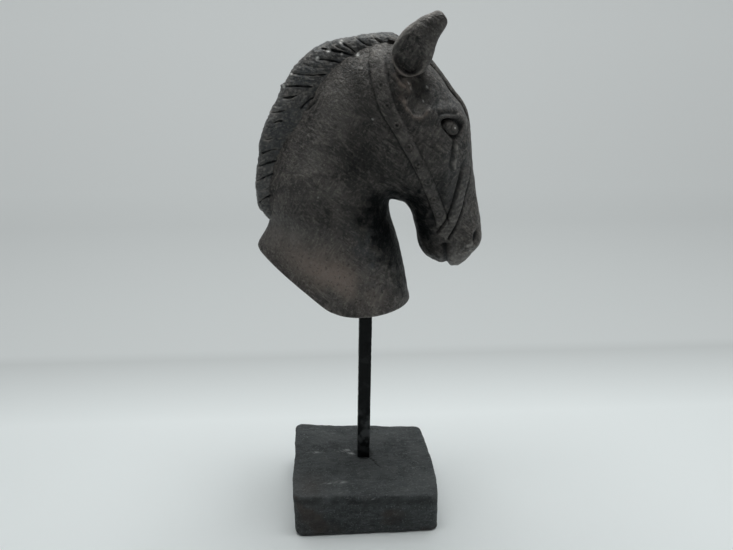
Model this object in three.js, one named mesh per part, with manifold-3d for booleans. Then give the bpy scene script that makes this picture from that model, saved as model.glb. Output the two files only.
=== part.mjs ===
// A dark terracotta horse head on a square iron bar that stands in a hand-cut block.
// Millimetres, +Z up. The origin is on the ground, under the middle of the block.
// The head is drawn in a frame of its own: x forward of the bar's axis, y sideways, z above the ground.
import * as THREE from 'three';
import { mergeVertices } from 'three/addons/utils/BufferGeometryUtils.js';
import Module from 'manifold-3d';

const wasm = await Module();
wasm.setup();

// Driving dimensions of the stand
const BLOCK_HEIGHT_LEFT = 28.5;
const BLOCK_HEIGHT_RIGHT = 25.5;
const BLOCK_CORNER = 5;
const BLOCK_PLAN = [[43.5, 40], [-43.5, 43], [-43.5, -40], [45, -40]];
const BLOCK_BULGE = 1.8;
const BLOCK_TAPER = 1.8;
const BAR_SIDE = 8;
const BAR_X = 1.3;
const BAR_Y = 6.5;
const BAR_LEAN = THREE.MathUtils.degToRad(0.9);
const BAR_IN_BLOCK = 18;
const BAR_IN_HEAD = 26;
const GLUE_GAP = 0.3;
const CLEAR_OF_BLOCK = 20;

// Driving dimensions of the head
const HEAD_X = 2;
const HEAD_TURN = THREE.MathUtils.degToRad(-6.5);
const UNDERSIDE_Z = 136;
const MANE_HALF_THICKNESS = 7;
const MANE_STROKES = 20;
const STROKE_DEPTH = 1.5;
const STROKE_NOTCH = 0.9;
const STRAP_RAISE = 1.5;
const STRAP_SINK = 2;
const STRAP_EDGE = 0.1;
const STRAP_FLAT = 0.65;
const STUD_COUNT = 8;
const STUD_SPAN = [1.9, 6.1];
const STUD_RADIUS = 1.6;
const STUD_TOP_RADIUS = 1.1;
const STUD_RAISE = 0.5;

// How finely the surfaces are cut into facets
const HEAD_COLUMNS = 60;
const HEAD_ROWS = 12;

// Ribs of the neck and face, fanned round the throat. Each row holds the rib's end on the crest (x, z),
// its end on the throat (x, z), its half width, where along it that width lies, and how full it is.
const RIBS = [
  [-72, 152.5, 34.5, 106, 35, 0.62, 0.5],
  [-63, 170.5, 28, 137.5, 31, 0.62, 0.5],
  [-55.5, 185.5, 22.5, 164, 27, 0.6, 0.5],
  [-57.5, 198, 19, 178.5, 25, 0.58, 0.5],
  [-55, 214.5, 16, 187.5, 23.5, 0.58, 0.5],
  [-49, 230, 15, 193.5, 22.5, 0.58, 0.5],
  [-38, 246.5, 15, 196.5, 22, 0.58, 0.5],
  [-24, 266.5, 15.5, 198, 22, 0.56, 0.48],
  [-5.5, 281, 16.5, 198.5, 22, 0.52, 0.46],
  [15.5, 285.5, 18, 198.5, 23, 0.48, 0.44],
  [35.3, 274.8, 20.5, 198, 24, 0.45, 0.42],
  [46.8, 260.7, 24, 197, 24.5, 0.4, 0.4],
  [55, 250.5, 26, 194.5, 24, 0.4, 0.4],
  [60, 238, 27.5, 192, 22, 0.45, 0.4],
  [62, 221.5, 29, 187.5, 19.5, 0.52, 0.42],
  [64.5, 204.5, 31, 180.5, 17, 0.52, 0.42],
  [67.5, 190.5, 32.5, 173, 15.5, 0.48, 0.42],
  [69, 180.5, 36, 166.5, 15, 0.45, 0.42],
  [68.5, 174, 41.5, 162.5, 13, 0.45, 0.45],
  [63.5, 166, 49.5, 160, 9.5, 0.5, 0.5],
  [58.5, 160.5, 54, 159, 5, 0.5, 0.5],
];

// Swellings and hollows on both sides of the head: middle (x, z), radii along and across,
// tilt of the long radius from upright towards the nose, and height
const FORMS = [
  { name: 'jowl', x: 26, z: 222, along: 20, across: 15, tilt: 20, height: 3 },
  { name: 'groove behind the jowl', x: 6, z: 222, along: 18, across: 6, tilt: -5, height: -2.5 },
  { name: 'temple hollow', x: 30, z: 257, along: 9, across: 6, tilt: 10, height: -4 },
  { name: 'brow', x: 46, z: 249, along: 3, across: 9, tilt: 0, height: 2 },
  { name: 'cheekbone', x: 44, z: 226, along: 14, across: 4, tilt: -12, height: 1.5 },
  { name: 'hollow beside the nose', x: 54, z: 217, along: 13, across: 5, tilt: -5, height: -1.8 },
  { name: 'nostril flare', x: 62, z: 179, along: 8, across: 5, tilt: 0, height: 2 },
  { name: 'chin', x: 42, z: 168, along: 5, across: 6, tilt: 40, height: 1.5 },
];

// Curves of the mane: its outer edge (x, z) and the root of the stroke that starts there (x, z)
const MANE = [
  [-58.5, 189, -50, 194],
  [-62, 195, -46.5, 202],
  [-62.5, 208.5, -43, 217],
  [-60.5, 221.5, -39.5, 230.5],
  [-57.5, 237, -32.5, 242.5],
  [-50.5, 250.5, -24.5, 252.5],
  [-44.5, 262.5, -17.5, 261],
  [-34.5, 275, -10.5, 266.5],
  [-23, 283.5, -2.5, 272],
  [-9.5, 287, 7, 277],
  [6.5, 289.5, 16, 279.5],
  [19, 289.5, 24.5, 279.5],
];

// The cut under the neck, from the chest back and up to the withers (x, z)
const UNDERSIDE = [
  [45, 139],
  [15, 136.4],
  [0, 136],
  [-9, 136.8],
  [-15, 138.4],
  [-20, 140.6],
  [-31, 148],
  [-45, 156.8],
  [-63, 167.8],
  [-82, 179],
];

// Ear: middle of each section (x, z), half width seen from the side, sideways place and half thickness
const EAR = [
  [25.5, 267.5, 4, 16, 4.5],
  [25.5, 271.5, 8.2, 17, 6],
  [26.5, 278.5, 10.6, 18, 6.4],
  [30, 285.5, 9.6, 19, 6],
  [34.6, 291, 7.2, 20, 5],
  [38.7, 294.7, 5.4, 20.5, 4.2],
  [41.4, 296.9, 4, 20.8, 3.2],
  [42.6, 297.9, 2, 21, 1.8],
];

const EAR_HOLLOW = { radii: [7.2, 4, 10.5], centre: [24.6, 25, 278.6], tilt: 14 };

// Routes on the side of the head (x, z)
const CHEEK_STRAP = [
  [9, 281],
  [8, 274],
  [9.5, 264],
  [13, 252.5],
  [23, 234.5],
  [35, 215],
  [44.5, 194],
  [47, 184],
];
const NOSE_STRAP = [[46.5, 179.5], [49.5, 186.5], [52.5, 194], [55.5, 204], [57.5, 211], [59.6, 218]];
const TEMPLE_RIM = [[18.5, 266], [23.5, 259], [21, 254], [24, 249], [28, 246.2], [33, 248.5], [37, 252]];
const UPPER_LID = [[41, 245.2], [45, 246.6], [52, 246.4]];
const FORELOCK_HALF_WIDTH = [9, 2.5];
const FORELOCK_HEIGHT = [1.4, 0.8];
const FORELOCK = [[14, 286.5], [25, 282.3], [35.6, 275], [47.2, 261], [55.2, 250.6], [59.6, 238.5]];

// Eye, nostril and mouth (x, z)
const EYE = { x: 47.6, z: 241.6, halfWidth: 4.3, halfHeight: 3.9, bulge: 3.4 };
const EYE_OPENING = [
  [41.8, 246],
  [53.4, 246.8],
  [54.2, 243],
  [52.8, 238.5],
  [50.4, 235.3],
  [47.5, 236.5],
  [44, 240.5],
];
const EYE_DEPTH = 2.2;
const EYE_SET_BACK = 2;
const NOSTRIL = { x: 64.3, z: 179.3, halfHeight: 4.6, halfWidth: 1.7, depth: 3 };
const MOUTH = [[46.6, 177], [50.4, 176.4], [50.6, 168], [50.4, 157], [48.6, 157], [48.2, 168]];
const MOUTH_CORE = 4;
const CLEAR_OF_HEAD = 60;

// Helpers for curves and surfaces

function curveThrough(rows, u) {
  const last = rows.length - 1;
  const i = Math.min(Math.floor(u), last - 1);
  const f = u - i;
  const row = (k) => rows[THREE.MathUtils.clamp(k, 0, last)];
  return rows[0].map((_, c) => {
    const [a, b, d, e] = [row(i - 1)[c], row(i)[c], row(i + 1)[c], row(i + 2)[c]];
    return b + 0.5 * f * (d - a + f * (2 * a - 5 * b + 4 * d - e + f * (3 * (b - d) + e - a)));
  });
}

function surfaceFrom(points, index) {
  const geometry = new THREE.BufferGeometry();
  geometry.setAttribute('position', new THREE.Float32BufferAttribute(points.flat(), 3));
  geometry.setIndex(index);
  return geometry;
}

// A closed surface through rings of equal counts, with a flat fan over each end
function loft(rings) {
  const count = rings[0].length;
  const points = rings.flat();
  const index = [];
  for (let i = 0; i + 1 < rings.length; i++) {
    for (let j = 0; j < count; j++) {
      const a = i * count + j;
      const b = i * count + ((j + 1) % count);
      index.push(a, b, b + count, a, b + count, a + count);
    }
  }
  for (const [ring, first] of [[rings[0], 0], [rings.at(-1), (rings.length - 1) * count]]) {
    const middle = points.push([0, 1, 2].map((c) => ring.reduce((sum, p) => sum + p[c], 0) / count)) - 1;
    for (let j = 0; j < count; j++) {
      const next = first + ((j + 1) % count);
      index.push(...(first === 0 ? [middle, next, first + j] : [middle, first + j, next]));
    }
  }
  return surfaceFrom(points, index);
}

// A closed body with its faces outward, whichever way round the surface was drawn
function solid(geometry) {
  const bare = geometry.clone();
  bare.deleteAttribute('normal');
  bare.deleteAttribute('uv');
  const merged = mergeVertices(bare, 1e-3);
  const vertProperties = merged.getAttribute('position').array;
  const triVerts = new Uint32Array(merged.getIndex().array);
  const made = new wasm.Manifold(new wasm.Mesh({ numProp: 3, vertProperties, triVerts }));
  if (made.volume() >= 0) return made;
  return new wasm.Manifold(new wasm.Mesh({ numProp: 3, vertProperties, triVerts: triVerts.reverse() }));
}

function geometryOf(body) {
  const mesh = body.getMesh();
  const geometry = new THREE.BufferGeometry();
  geometry.setAttribute('position', new THREE.BufferAttribute(mesh.vertProperties, 3));
  geometry.setIndex(new THREE.BufferAttribute(mesh.triVerts, 1));
  geometry.computeVertexNormals();
  return geometry;
}

// A flat outline in the head's side view, carried sideways from one y to another
function sideProfile(outline, fromY, toY) {
  const shape = new THREE.Shape(outline.map(([x, z]) => new THREE.Vector2(x, z)));
  const geometry = new THREE.ExtrudeGeometry(shape, { depth: toY - fromY, bevelEnabled: false });
  return geometry.rotateX(Math.PI / 2).translate(0, toY, 0);
}

// The skin of the neck and face

function swelling(x, z) {
  return FORMS.reduce((sum, form) => {
    const tilt = THREE.MathUtils.degToRad(form.tilt);
    const dx = x - form.x;
    const dz = z - form.z;
    const along = (dz * Math.cos(tilt) + dx * Math.sin(tilt)) / form.along;
    const across = (dx * Math.cos(tilt) - dz * Math.sin(tilt)) / form.across;
    return sum + form.height * Math.exp(-along * along - across * across);
  }, 0);
}

// The point at share t of rib u, from crest to throat, with its half width
function onRib(u, t) {
  const [topX, topZ, lowX, lowZ, width, widest, fullness] = curveThrough(RIBS, u);
  const x = THREE.MathUtils.lerp(topX, lowX, t);
  const z = THREE.MathUtils.lerp(topZ, lowZ, t);
  const warped = t ** (Math.log(0.5) / Math.log(widest));
  const arch = Math.max(0, 4 * warped * (1 - warped)) ** fullness;
  return { x, z, halfWidth: arch * (width + swelling(x, z)) };
}

// Half width of the head at a place in its side view. The ribs sweep over that place once.
function skin(x, z) {
  let [low, high] = [0, RIBS.length - 1];
  const ends = (u) => curveThrough(RIBS, u);
  const ahead = ([topX, topZ, lowX, lowZ]) => (lowX - topX) * (z - topZ) - (lowZ - topZ) * (x - topX) > 0;
  for (let step = 0; step < 40; step++) {
    const middle = (low + high) / 2;
    if (ahead(ends(middle))) low = middle;
    else high = middle;
  }
  const [topX, topZ, lowX, lowZ] = ends(low);
  const length2 = (lowX - topX) ** 2 + (lowZ - topZ) ** 2;
  const t = ((x - topX) * (lowX - topX) + (z - topZ) * (lowZ - topZ)) / length2;
  return onRib(low, THREE.MathUtils.clamp(t, 0, 1)).halfWidth;
}

function skinNormal(x, z) {
  const step = 1;
  const slopeX = (skin(x + step, z) - skin(x - step, z)) / (2 * step);
  const slopeZ = (skin(x, z + step) - skin(x, z - step)) / (2 * step);
  return new THREE.Vector3(-slopeX, 1, -slopeZ).normalize();
}

function onSkin(x, z, raise) {
  const normal = skinNormal(x, z);
  return [x + normal.x * raise, skin(x, z) + normal.y * raise, z + normal.z * raise];
}

function coreOfHead() {
  const shares = Array.from({ length: HEAD_ROWS + 1 }, (_, j) => (1 - Math.cos((Math.PI * j) / HEAD_ROWS)) / 2);
  const rings = Array.from({ length: HEAD_COLUMNS }, (_, k) => {
    const side = shares.map((t) => onRib((k / (HEAD_COLUMNS - 1)) * (RIBS.length - 1), t));
    const right = side.map((p) => [p.x, -p.halfWidth, p.z]);
    const left = side.slice(1, -1).reverse().map((p) => [p.x, p.halfWidth, p.z]);
    return [...right, ...left];
  });
  return loft(rings);
}

// Mane: a crest cut by slanting strokes, each a V between two flat locks.
// Pairs across a lock: share of the way from root to edge, share of the thickness there.
// Pairs along the mane: share of one stroke's pitch, and whether the stroke is cut there.
function mane() {
  const across = [[0, 1], [0.45, 1], [0.75, 0.9], [0.93, 0.66]];
  const beats = [[0, 1], [0.28, 0], [0.72, 0]];
  const rings = [];
  for (let stroke = 0; stroke < MANE_STROKES; stroke++) {
    for (const [beat, cut] of beats) {
      const u = ((stroke + beat) / MANE_STROKES) * (MANE.length - 1);
      const [edgeX, edgeZ, rootX, rootZ] = curveThrough(MANE, u);
      const length = Math.hypot(edgeX - rootX, edgeZ - rootZ);
      const reach = 1 - (cut * STROKE_NOTCH) / length;
      const root = new THREE.Vector2(rootX, rootZ);
      const edge = new THREE.Vector2(edgeX, edgeZ).lerp(root, 1 - reach);
      const side = across.map(([q, share]) => {
        const place = root.clone().lerp(edge, q);
        return [place.x, MANE_HALF_THICKNESS * share - cut * STROKE_DEPTH * Math.min(1, q * 2), place.y];
      });
      rings.push([...side.map(([x, y, z]) => [x, -y, z]), [edge.x, 0, edge.y], ...side.reverse()]);
    }
  }
  return loft(rings);
}

// A band that lies along a route on the skin, with sloping edges that sink into it
function band(route, steps, widthAt, raiseAt) {
  const rings = Array.from({ length: steps + 1 }, (_, k) => {
    const share = k / steps;
    const u = share * (route.length - 1);
    const [x, z] = curveThrough(route, u);
    const [aheadX, aheadZ] = curveThrough(route, Math.min(u + 0.05, route.length - 1));
    const [behindX, behindZ] = curveThrough(route, Math.max(u - 0.05, 0));
    const across = new THREE.Vector2(-(aheadZ - behindZ), aheadX - behindX).setLength(widthAt(share) / 2);
    const raise = raiseAt(share, k);
    const half = [[1, -STRAP_SINK], [1, STRAP_EDGE], [STRAP_FLAT, raise]];
    const section = [...half.map(([s, height]) => [-s, height]), ...half.reverse()];
    return section.map(([s, height]) => onSkin(x + s * across.x, z + s * across.y, height));
  });
  return loft(rings);
}

function ellipsoid(radii, centre, tiltDeg, sides) {
  const ball = new THREE.SphereGeometry(1, sides, Math.round(sides / 2));
  ball.scale(...radii).rotateY(THREE.MathUtils.degToRad(tiltDeg));
  return ball.translate(...centre);
}

function ear() {
  const sides = 12;
  const sections = 11;
  const rings = Array.from({ length: sections + 1 }, (_, k) => {
    const u = (k / sections) * (EAR.length - 1);
    const [x, z, halfWidth, y, thick] = curveThrough(EAR, u);
    const [aheadX, aheadZ] = curveThrough(EAR, Math.min(u + 0.1, EAR.length - 1));
    const [behindX, behindZ] = curveThrough(EAR, Math.max(u - 0.1, 0));
    const across = new THREE.Vector2(aheadZ - behindZ, -(aheadX - behindX)).setLength(halfWidth);
    return Array.from({ length: sides }, (_, j) => {
      const turn = (2 * Math.PI * j) / sides;
      const c = Math.cos(turn);
      return [x + across.x * c, y + thick * Math.sin(turn), z + across.y * c];
    });
  });
  const hollow = ellipsoid(EAR_HOLLOW.radii, EAR_HOLLOW.centre, EAR_HOLLOW.tilt, 14);
  return geometryOf(solid(loft(rings)).subtract(solid(hollow)));
}

function forelock() {
  const steps = 10;
  const sides = 8;
  const rings = Array.from({ length: steps + 1 }, (_, k) => {
    const share = k / steps;
    const [x, z] = curveThrough(FORELOCK, share * (FORELOCK.length - 1));
    const halfWidth = THREE.MathUtils.lerp(...FORELOCK_HALF_WIDTH, share);
    const height = THREE.MathUtils.lerp(...FORELOCK_HEIGHT, share);
    return Array.from({ length: sides }, (_, j) => {
      const turn = (2 * Math.PI * j) / sides;
      const lift = height * Math.cos(turn);
      return [x + lift, halfWidth * Math.sin(turn), z + lift];
    });
  });
  return loft(rings);
}

// Studs at even steps along the cheek strap, each sunk by half its length
function studs() {
  const length = 2;
  const up = new THREE.Vector3(0, 1, 0);
  return Array.from({ length: STUD_COUNT }, (_, k) => {
    const u = THREE.MathUtils.lerp(...STUD_SPAN, k / (STUD_COUNT - 1));
    const [x, z] = curveThrough(CHEEK_STRAP, u);
    const stud = new THREE.CylinderGeometry(STUD_TOP_RADIUS, STUD_RADIUS, length, 6);
    const turn = new THREE.Quaternion().setFromUnitVectors(up, skinNormal(x, z));
    return stud.applyQuaternion(turn).translate(...onSkin(x, z, STRAP_RAISE + STUD_RAISE - length / 2));
  });
}

// What stands proud of one side of the head. The nose strap is twisted like a cord, and flattens at the bridge.
function sideRelief() {
  const cheekWidth = (share) => THREE.MathUtils.lerp(9.5, 6.5, share);
  const twist = (share, k) => (k % 2) * 0.8 * (1 - share * share);
  const noseRaise = (share, k) => THREE.MathUtils.lerp(STRAP_RAISE, 0.2, share ** 3) + twist(share, k);
  const cheek = band(CHEEK_STRAP, 17, cheekWidth, () => STRAP_RAISE);
  const nose = band(NOSE_STRAP, 16, () => 6.2, noseRaise);
  const temple = band(TEMPLE_RIM, 12, () => 3.4, () => 1.2);
  const lid = band(UPPER_LID, 5, () => 2.4, () => 1.5);
  return [ear(), cheek, nose, temple, lid, ...studs()];
}

function eyeSocket() {
  const y = skin(EYE.x, EYE.z);
  return sideProfile(EYE_OPENING, y - EYE_DEPTH, CLEAR_OF_HEAD);
}

function eyeball() {
  const y = skin(EYE.x, EYE.z) - EYE_SET_BACK;
  return ellipsoid([EYE.halfWidth, EYE.bulge, EYE.halfHeight], [EYE.x, y, EYE.z], 0, 12);
}

function nostril() {
  const y = skin(NOSTRIL.x, NOSTRIL.z) + 0.5;
  return ellipsoid([NOSTRIL.halfWidth, NOSTRIL.depth, NOSTRIL.halfHeight], [NOSTRIL.x, y, NOSTRIL.z], 8, 10);
}

function underside() {
  const spans = UNDERSIDE.length - 1;
  const rim = Array.from({ length: 2 * spans + 1 }, (_, k) => curveThrough(UNDERSIDE, k / 2));
  const below = UNDERSIDE_Z - CLEAR_OF_HEAD;
  const outline = [...rim, [UNDERSIDE[spans][0], below], [UNDERSIDE[0][0], below]];
  return sideProfile(outline, -CLEAR_OF_HEAD, CLEAR_OF_HEAD);
}

// A square length of the leaning bar between two heights, or the hole that takes it
function barBetween(from, to, side) {
  const length = new THREE.BoxGeometry(side, side, to - from).translate(0, 0, (from + to) / 2);
  return length.applyMatrix4(barPlace);
}

function socket(from, to) {
  return barBetween(from, to, BAR_SIDE + 2 * GLUE_GAP);
}

function horseHead() {
  const both = (geometry) => [geometry, geometry.clone().scale(1, -1, 1)];
  const mouth = sideProfile(MOUTH, MOUTH_CORE, CLEAR_OF_HEAD);
  let body = solid(coreOfHead()).add(solid(mane())).add(solid(forelock()));
  for (const cut of both(eyeSocket())) body = body.subtract(solid(cut));
  for (const relief of [...sideRelief(), eyeball()].flatMap(both)) body = body.add(solid(relief));
  for (const cut of [...both(nostril()), ...both(mouth), underside()]) body = body.subtract(solid(cut));
  const barHole = socket(UNDERSIDE_Z - CLEAR_OF_HEAD, barTo).applyMatrix4(headPlace.clone().invert());
  return body.subtract(solid(barHole));
}

// Block: rounded corners, softened edges, and a top that falls a little to the right
function blockHeight(x) {
  const [left, right] = [BLOCK_PLAN[1][0], BLOCK_PLAN[0][0]];
  return THREE.MathUtils.mapLinear(x, left, right, BLOCK_HEIGHT_LEFT, BLOCK_HEIGHT_RIGHT);
}

function block() {
  const perCorner = 5;
  const perSide = 3;
  const levels = [[0, 1.4], [0.04, 0.5], [0.12, 0.1], [0.5, 0], [0.85, 0.2], [0.94, 0.7], [0.985, 1.7], [1, 3]];
  const rings = levels.map(([level, inset]) => {
    const corners = BLOCK_PLAN.map(([cornerX, cornerY], corner) => Array.from({ length: perCorner }, (_, k) => {
      const turn = (Math.PI / 2) * (corner + k / (perCorner - 1));
      const x = cornerX - Math.sign(cornerX) * BLOCK_CORNER + (BLOCK_CORNER - inset) * Math.cos(turn);
      const y = cornerY - Math.sign(cornerY) * BLOCK_CORNER + (BLOCK_CORNER - inset) * Math.sin(turn);
      return new THREE.Vector2(x, y);
    }));
    const plan = corners.flatMap((arc, corner) => {
      const next = corners[(corner + 1) % corners.length][0];
      const from = arc.at(-1);
      const side = Array.from({ length: perSide }, (_, k) => from.clone().lerp(next, (k + 1) / (perSide + 1)));
      return [...arc, ...side];
    });
    return plan.map(({ x, y }) => {
      const bulge = BLOCK_BULGE * Math.max(0, x / BLOCK_PLAN[0][0]) * (1 - (y / BLOCK_PLAN[0][1]) ** 2);
      const taper = BLOCK_TAPER * Math.max(0, x / BLOCK_PLAN[1][0]) * (1 - level);
      return [x + bulge + taper, y, level * blockHeight(x)];
    });
  });
  return loft(rings);
}

const blockTopAtBar = blockHeight(BAR_X);
const barFrom = blockTopAtBar - BAR_IN_BLOCK;
const barTo = UNDERSIDE_Z + BAR_IN_HEAD;
const barPlace = new THREE.Matrix4().makeRotationY(BAR_LEAN).setPosition(BAR_X, BAR_Y, 0);
const headPlace = new THREE.Matrix4().makeRotationZ(HEAD_TURN).setPosition(HEAD_X, BAR_Y, 0);

const terracotta = new THREE.MeshStandardMaterial({ color: 0x3a3330, roughness: 0.7, metalness: 0 });
const slate = new THREE.MeshStandardMaterial({ color: 0x35393a, roughness: 0.8, metalness: 0 });
const blackIron = new THREE.MeshStandardMaterial({ color: 0x15181a, roughness: 0.5, metalness: 0.6 });

const statue = new THREE.Group();

const blockSolid = solid(block()).subtract(solid(socket(barFrom, blockTopAtBar + CLEAR_OF_BLOCK)));
const blockMesh = new THREE.Mesh(geometryOf(blockSolid), slate);
blockMesh.name = 'base_block';
statue.add(blockMesh);

const barMesh = new THREE.Mesh(barBetween(barFrom + GLUE_GAP, barTo - GLUE_GAP, BAR_SIDE), blackIron);
barMesh.name = 'iron_bar';
statue.add(barMesh);

const headGroup = new THREE.Group();
headGroup.applyMatrix4(headPlace);
const headMesh = new THREE.Mesh(geometryOf(horseHead()), terracotta);
headMesh.name = 'horse_head';
headGroup.add(headMesh);
statue.add(headGroup);

export default statue;
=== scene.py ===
import math

import bpy
import numpy as np
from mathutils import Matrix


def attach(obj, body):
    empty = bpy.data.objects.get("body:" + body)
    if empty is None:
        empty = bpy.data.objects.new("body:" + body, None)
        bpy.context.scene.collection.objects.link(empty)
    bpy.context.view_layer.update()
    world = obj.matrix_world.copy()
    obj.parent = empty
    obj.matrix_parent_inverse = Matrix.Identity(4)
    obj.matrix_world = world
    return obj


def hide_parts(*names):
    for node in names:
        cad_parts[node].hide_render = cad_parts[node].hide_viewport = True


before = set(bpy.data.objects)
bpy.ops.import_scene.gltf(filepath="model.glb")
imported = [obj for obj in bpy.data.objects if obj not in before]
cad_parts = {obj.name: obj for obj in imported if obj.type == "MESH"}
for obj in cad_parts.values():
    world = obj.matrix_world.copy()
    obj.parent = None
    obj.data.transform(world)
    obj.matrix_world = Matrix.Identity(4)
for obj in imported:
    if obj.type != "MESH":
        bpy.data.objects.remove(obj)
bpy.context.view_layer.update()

# Shared sizes, as in the solids
HEAD_TURN = math.radians(-6.5)
HEAD_X = 2.0
BAR_X = 1.3
BAR_Y = 6.5
BAR_LEAN = math.radians(0.9)
BAR_SIDE = 8.0
BAR_FROM = 9.3
BAR_TO = 161.6
MANE_HALF_THICKNESS = 7.0
STRAP_RAISE = 0.9
BLOCK_CORNER = 5.0
BLOCK_PLAN = [(43.5, 40.0), (-43.5, 43.0), (-43.5, -40.0), (45.0, -40.0)]
BLOCK_HALF_LENGTH = 43.5
BLOCK_HALF_WIDTH = 40.0
BLOCK_LEFT_HEIGHT = 28.5
BLOCK_RIGHT_HEIGHT = 25.5
BLOCK_BULGE = 1.8
BLOCK_FOOT_ROUND = 1.4
BLOCK_TOP_ROUND = 1.7

# Ribs: crest end (x, z), throat end (x, z), half width, where it lies, fullness
RIBS = np.array([
    [-72, 152.5, 34.5, 106, 35, 0.62, 0.5],
    [-63, 170.5, 28, 137.5, 31, 0.62, 0.5],
    [-55.5, 185.5, 22.5, 164, 27, 0.6, 0.5],
    [-57.5, 198, 19, 178.5, 25, 0.58, 0.5],
    [-55, 214.5, 16, 187.5, 23.5, 0.58, 0.5],
    [-49, 230, 15, 193.5, 22.5, 0.58, 0.5],
    [-38, 246.5, 15, 196.5, 22, 0.58, 0.5],
    [-24, 266.5, 15.5, 198, 22, 0.56, 0.48],
    [-5.5, 281, 16.5, 198.5, 22, 0.52, 0.46],
    [15.5, 285.5, 18, 198.5, 23, 0.48, 0.44],
    [35.3, 274.8, 20.5, 198, 24, 0.45, 0.42],
    [46.8, 260.7, 24, 197, 24.5, 0.4, 0.4],
    [55, 250.5, 26, 194.5, 24, 0.4, 0.4],
    [60, 238, 27.5, 192, 22, 0.45, 0.4],
    [62, 221.5, 29, 187.5, 19.5, 0.52, 0.42],
    [64.5, 204.5, 31, 180.5, 17, 0.52, 0.42],
    [67.5, 190.5, 32.5, 173, 15.5, 0.48, 0.42],
    [69, 180.5, 36, 166.5, 15, 0.45, 0.42],
    [68.5, 174, 41.5, 162.5, 13, 0.45, 0.45],
    [63.5, 166, 49.5, 160, 9.5, 0.5, 0.5],
    [58.5, 160.5, 54, 159, 5, 0.5, 0.5],
])

# Swellings and hollows: middle (x, z), radii along and across, tilt, height
FORMS = [
    (26, 222, 20, 15, 20, 3.0),
    (6, 222, 18, 6, -5, -2.5),
    (30, 257, 9, 6, 10, -4.0),
    (27.5, 264.5, 5, 4, 0, -2.0),
    (46, 249, 3, 9, 0, 2.0),
    (44, 226, 14, 4, -12, 1.5),
    (54, 217, 13, 5, -5, -1.8),
    (62, 179, 8, 5, 0, 2.0),
    (42, 168, 5, 6, 40, 1.5),
    (-20, 205, 26, 12, 25, 1.0),
    (-12, 172, 10, 16, -60, -0.8),
]

# The cut under the neck (x, z), from the chest back and up
UNDERSIDE = np.array([
    [45, 139], [15, 136.4], [0, 136], [-9, 136.8], [-15, 138.4],
    [-20, 140.6], [-31, 148], [-45, 156.8], [-63, 167.8], [-82, 179],
], float)

# Mane: outer edge (x, z) and root (x, z)
MANE = np.array([
    [-53.4, 183, -47.5, 188], [-58.8, 189.6, -50, 194], [-62, 195, -46.5, 202], [-62.5, 208.5, -43, 217],
    [-60.5, 221.5, -39.5, 230.5], [-57.5, 237, -32.5, 242.5], [-50.5, 250.5, -24.5, 252.5],
    [-44.5, 262.5, -17.5, 261], [-34.5, 275, -10.5, 266.5], [-23, 283.5, -2.5, 272],
    [-9.5, 287, 7, 277], [6.5, 289.5, 16, 279.5], [19, 289.5, 24.5, 279.5],
], float)

# Ear: middle (x, z), half width, sideways place, half thickness
EAR = np.array([
    [25.5, 267.5, 4, 16, 4.5], [25.5, 271.5, 8.2, 17, 6], [26.5, 278.5, 10.6, 18, 6.4],
    [30, 285.5, 9.6, 19, 6], [34.6, 291, 7.2, 20, 5], [38.7, 294.7, 5.4, 20.5, 4.2],
    [41.4, 296.9, 4, 20.8, 3.2], [42.6, 297.9, 2, 21, 1.8],
])

# Routes and spots on the side of the head (x, z)
CHEEK_STRAP = [(9.1, 281), (8.4, 274.5), (10.4, 263.6), (13.9, 252.9), (19, 243.6), (26, 232),
               (31, 223), (36.2, 213.2), (40.2, 203), (43.4, 194.5), (45.4, 187)]
STUDS = [(10.5, 263.2), (13.9, 253.2), (19.3, 243.2), (26, 232.1), (30.9, 223.2), (36.4, 213.2),
         (40.2, 202.9), (43.4, 194.5)]
NOSE_STRAP = [(45.6, 180.4), (48.2, 185.4), (50.5, 189.8), (53, 197.3), (54.6, 204.5), (56.2, 211.6),
              (56.9, 217), (57.6, 224)]
TEMPLE_RIM_UPPER = [(17.4, 269.5), (18.3, 267), (20.4, 264.4), (23, 262.2), (26.2, 258.2)]
TEMPLE_RIM_INNER = [(21.4, 267), (24.4, 264.6), (26.6, 260)]
TEMPLE_RIM_LOWER = [(22.3, 256.6), (23.4, 252.6), (26.6, 248.8), (30.2, 246.8), (34.3, 248.4),
                    (37.6, 252.2)]
EYE_OPENING = [(42.6, 246.2), (47.5, 247.2), (53.2, 246), (55, 241.6), (53, 237.3), (49.9, 235.5),
               (46.1, 238.4), (42.6, 243.2)]
BROW_LINE = [(40, 249), (45.7, 249.9), (51.5, 248.6)]
TEAR_LINE = [(49.4, 235.2), (48.3, 224), (48.2, 214), (48.6, 206)]
VEIN_LINE = [(51.6, 233.5), (50.6, 224), (50.4, 213)]
MOUTH_LINE = [(46.6, 176.8), (47.8, 170.6), (48.6, 164), (49.6, 157.5)]
NECK_FRONT = [(7, 224), (10, 213), (12.5, 204), (14, 195), (15.5, 185), (18.5, 174), (22.5, 162), (27, 147)]
JAW_LINE = [(14, 203), (21, 203), (28.5, 198), (32, 188), (34.5, 177), (40, 167)]
PALE_BAND = [(-43, 201.5), (-26, 204.5), (-11, 207.5)]
EAR_HOLLOW = [(15.4, 280.5), (16.6, 276), (19.2, 271.6), (24.6, 268.2), (29.5, 269.3), (32.7, 272.9),
              (34, 277.5), (32.3, 284), (27.6, 289), (20.4, 287)]
EAR_HOLLOW_MIDDLE = (25, 279)

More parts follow.
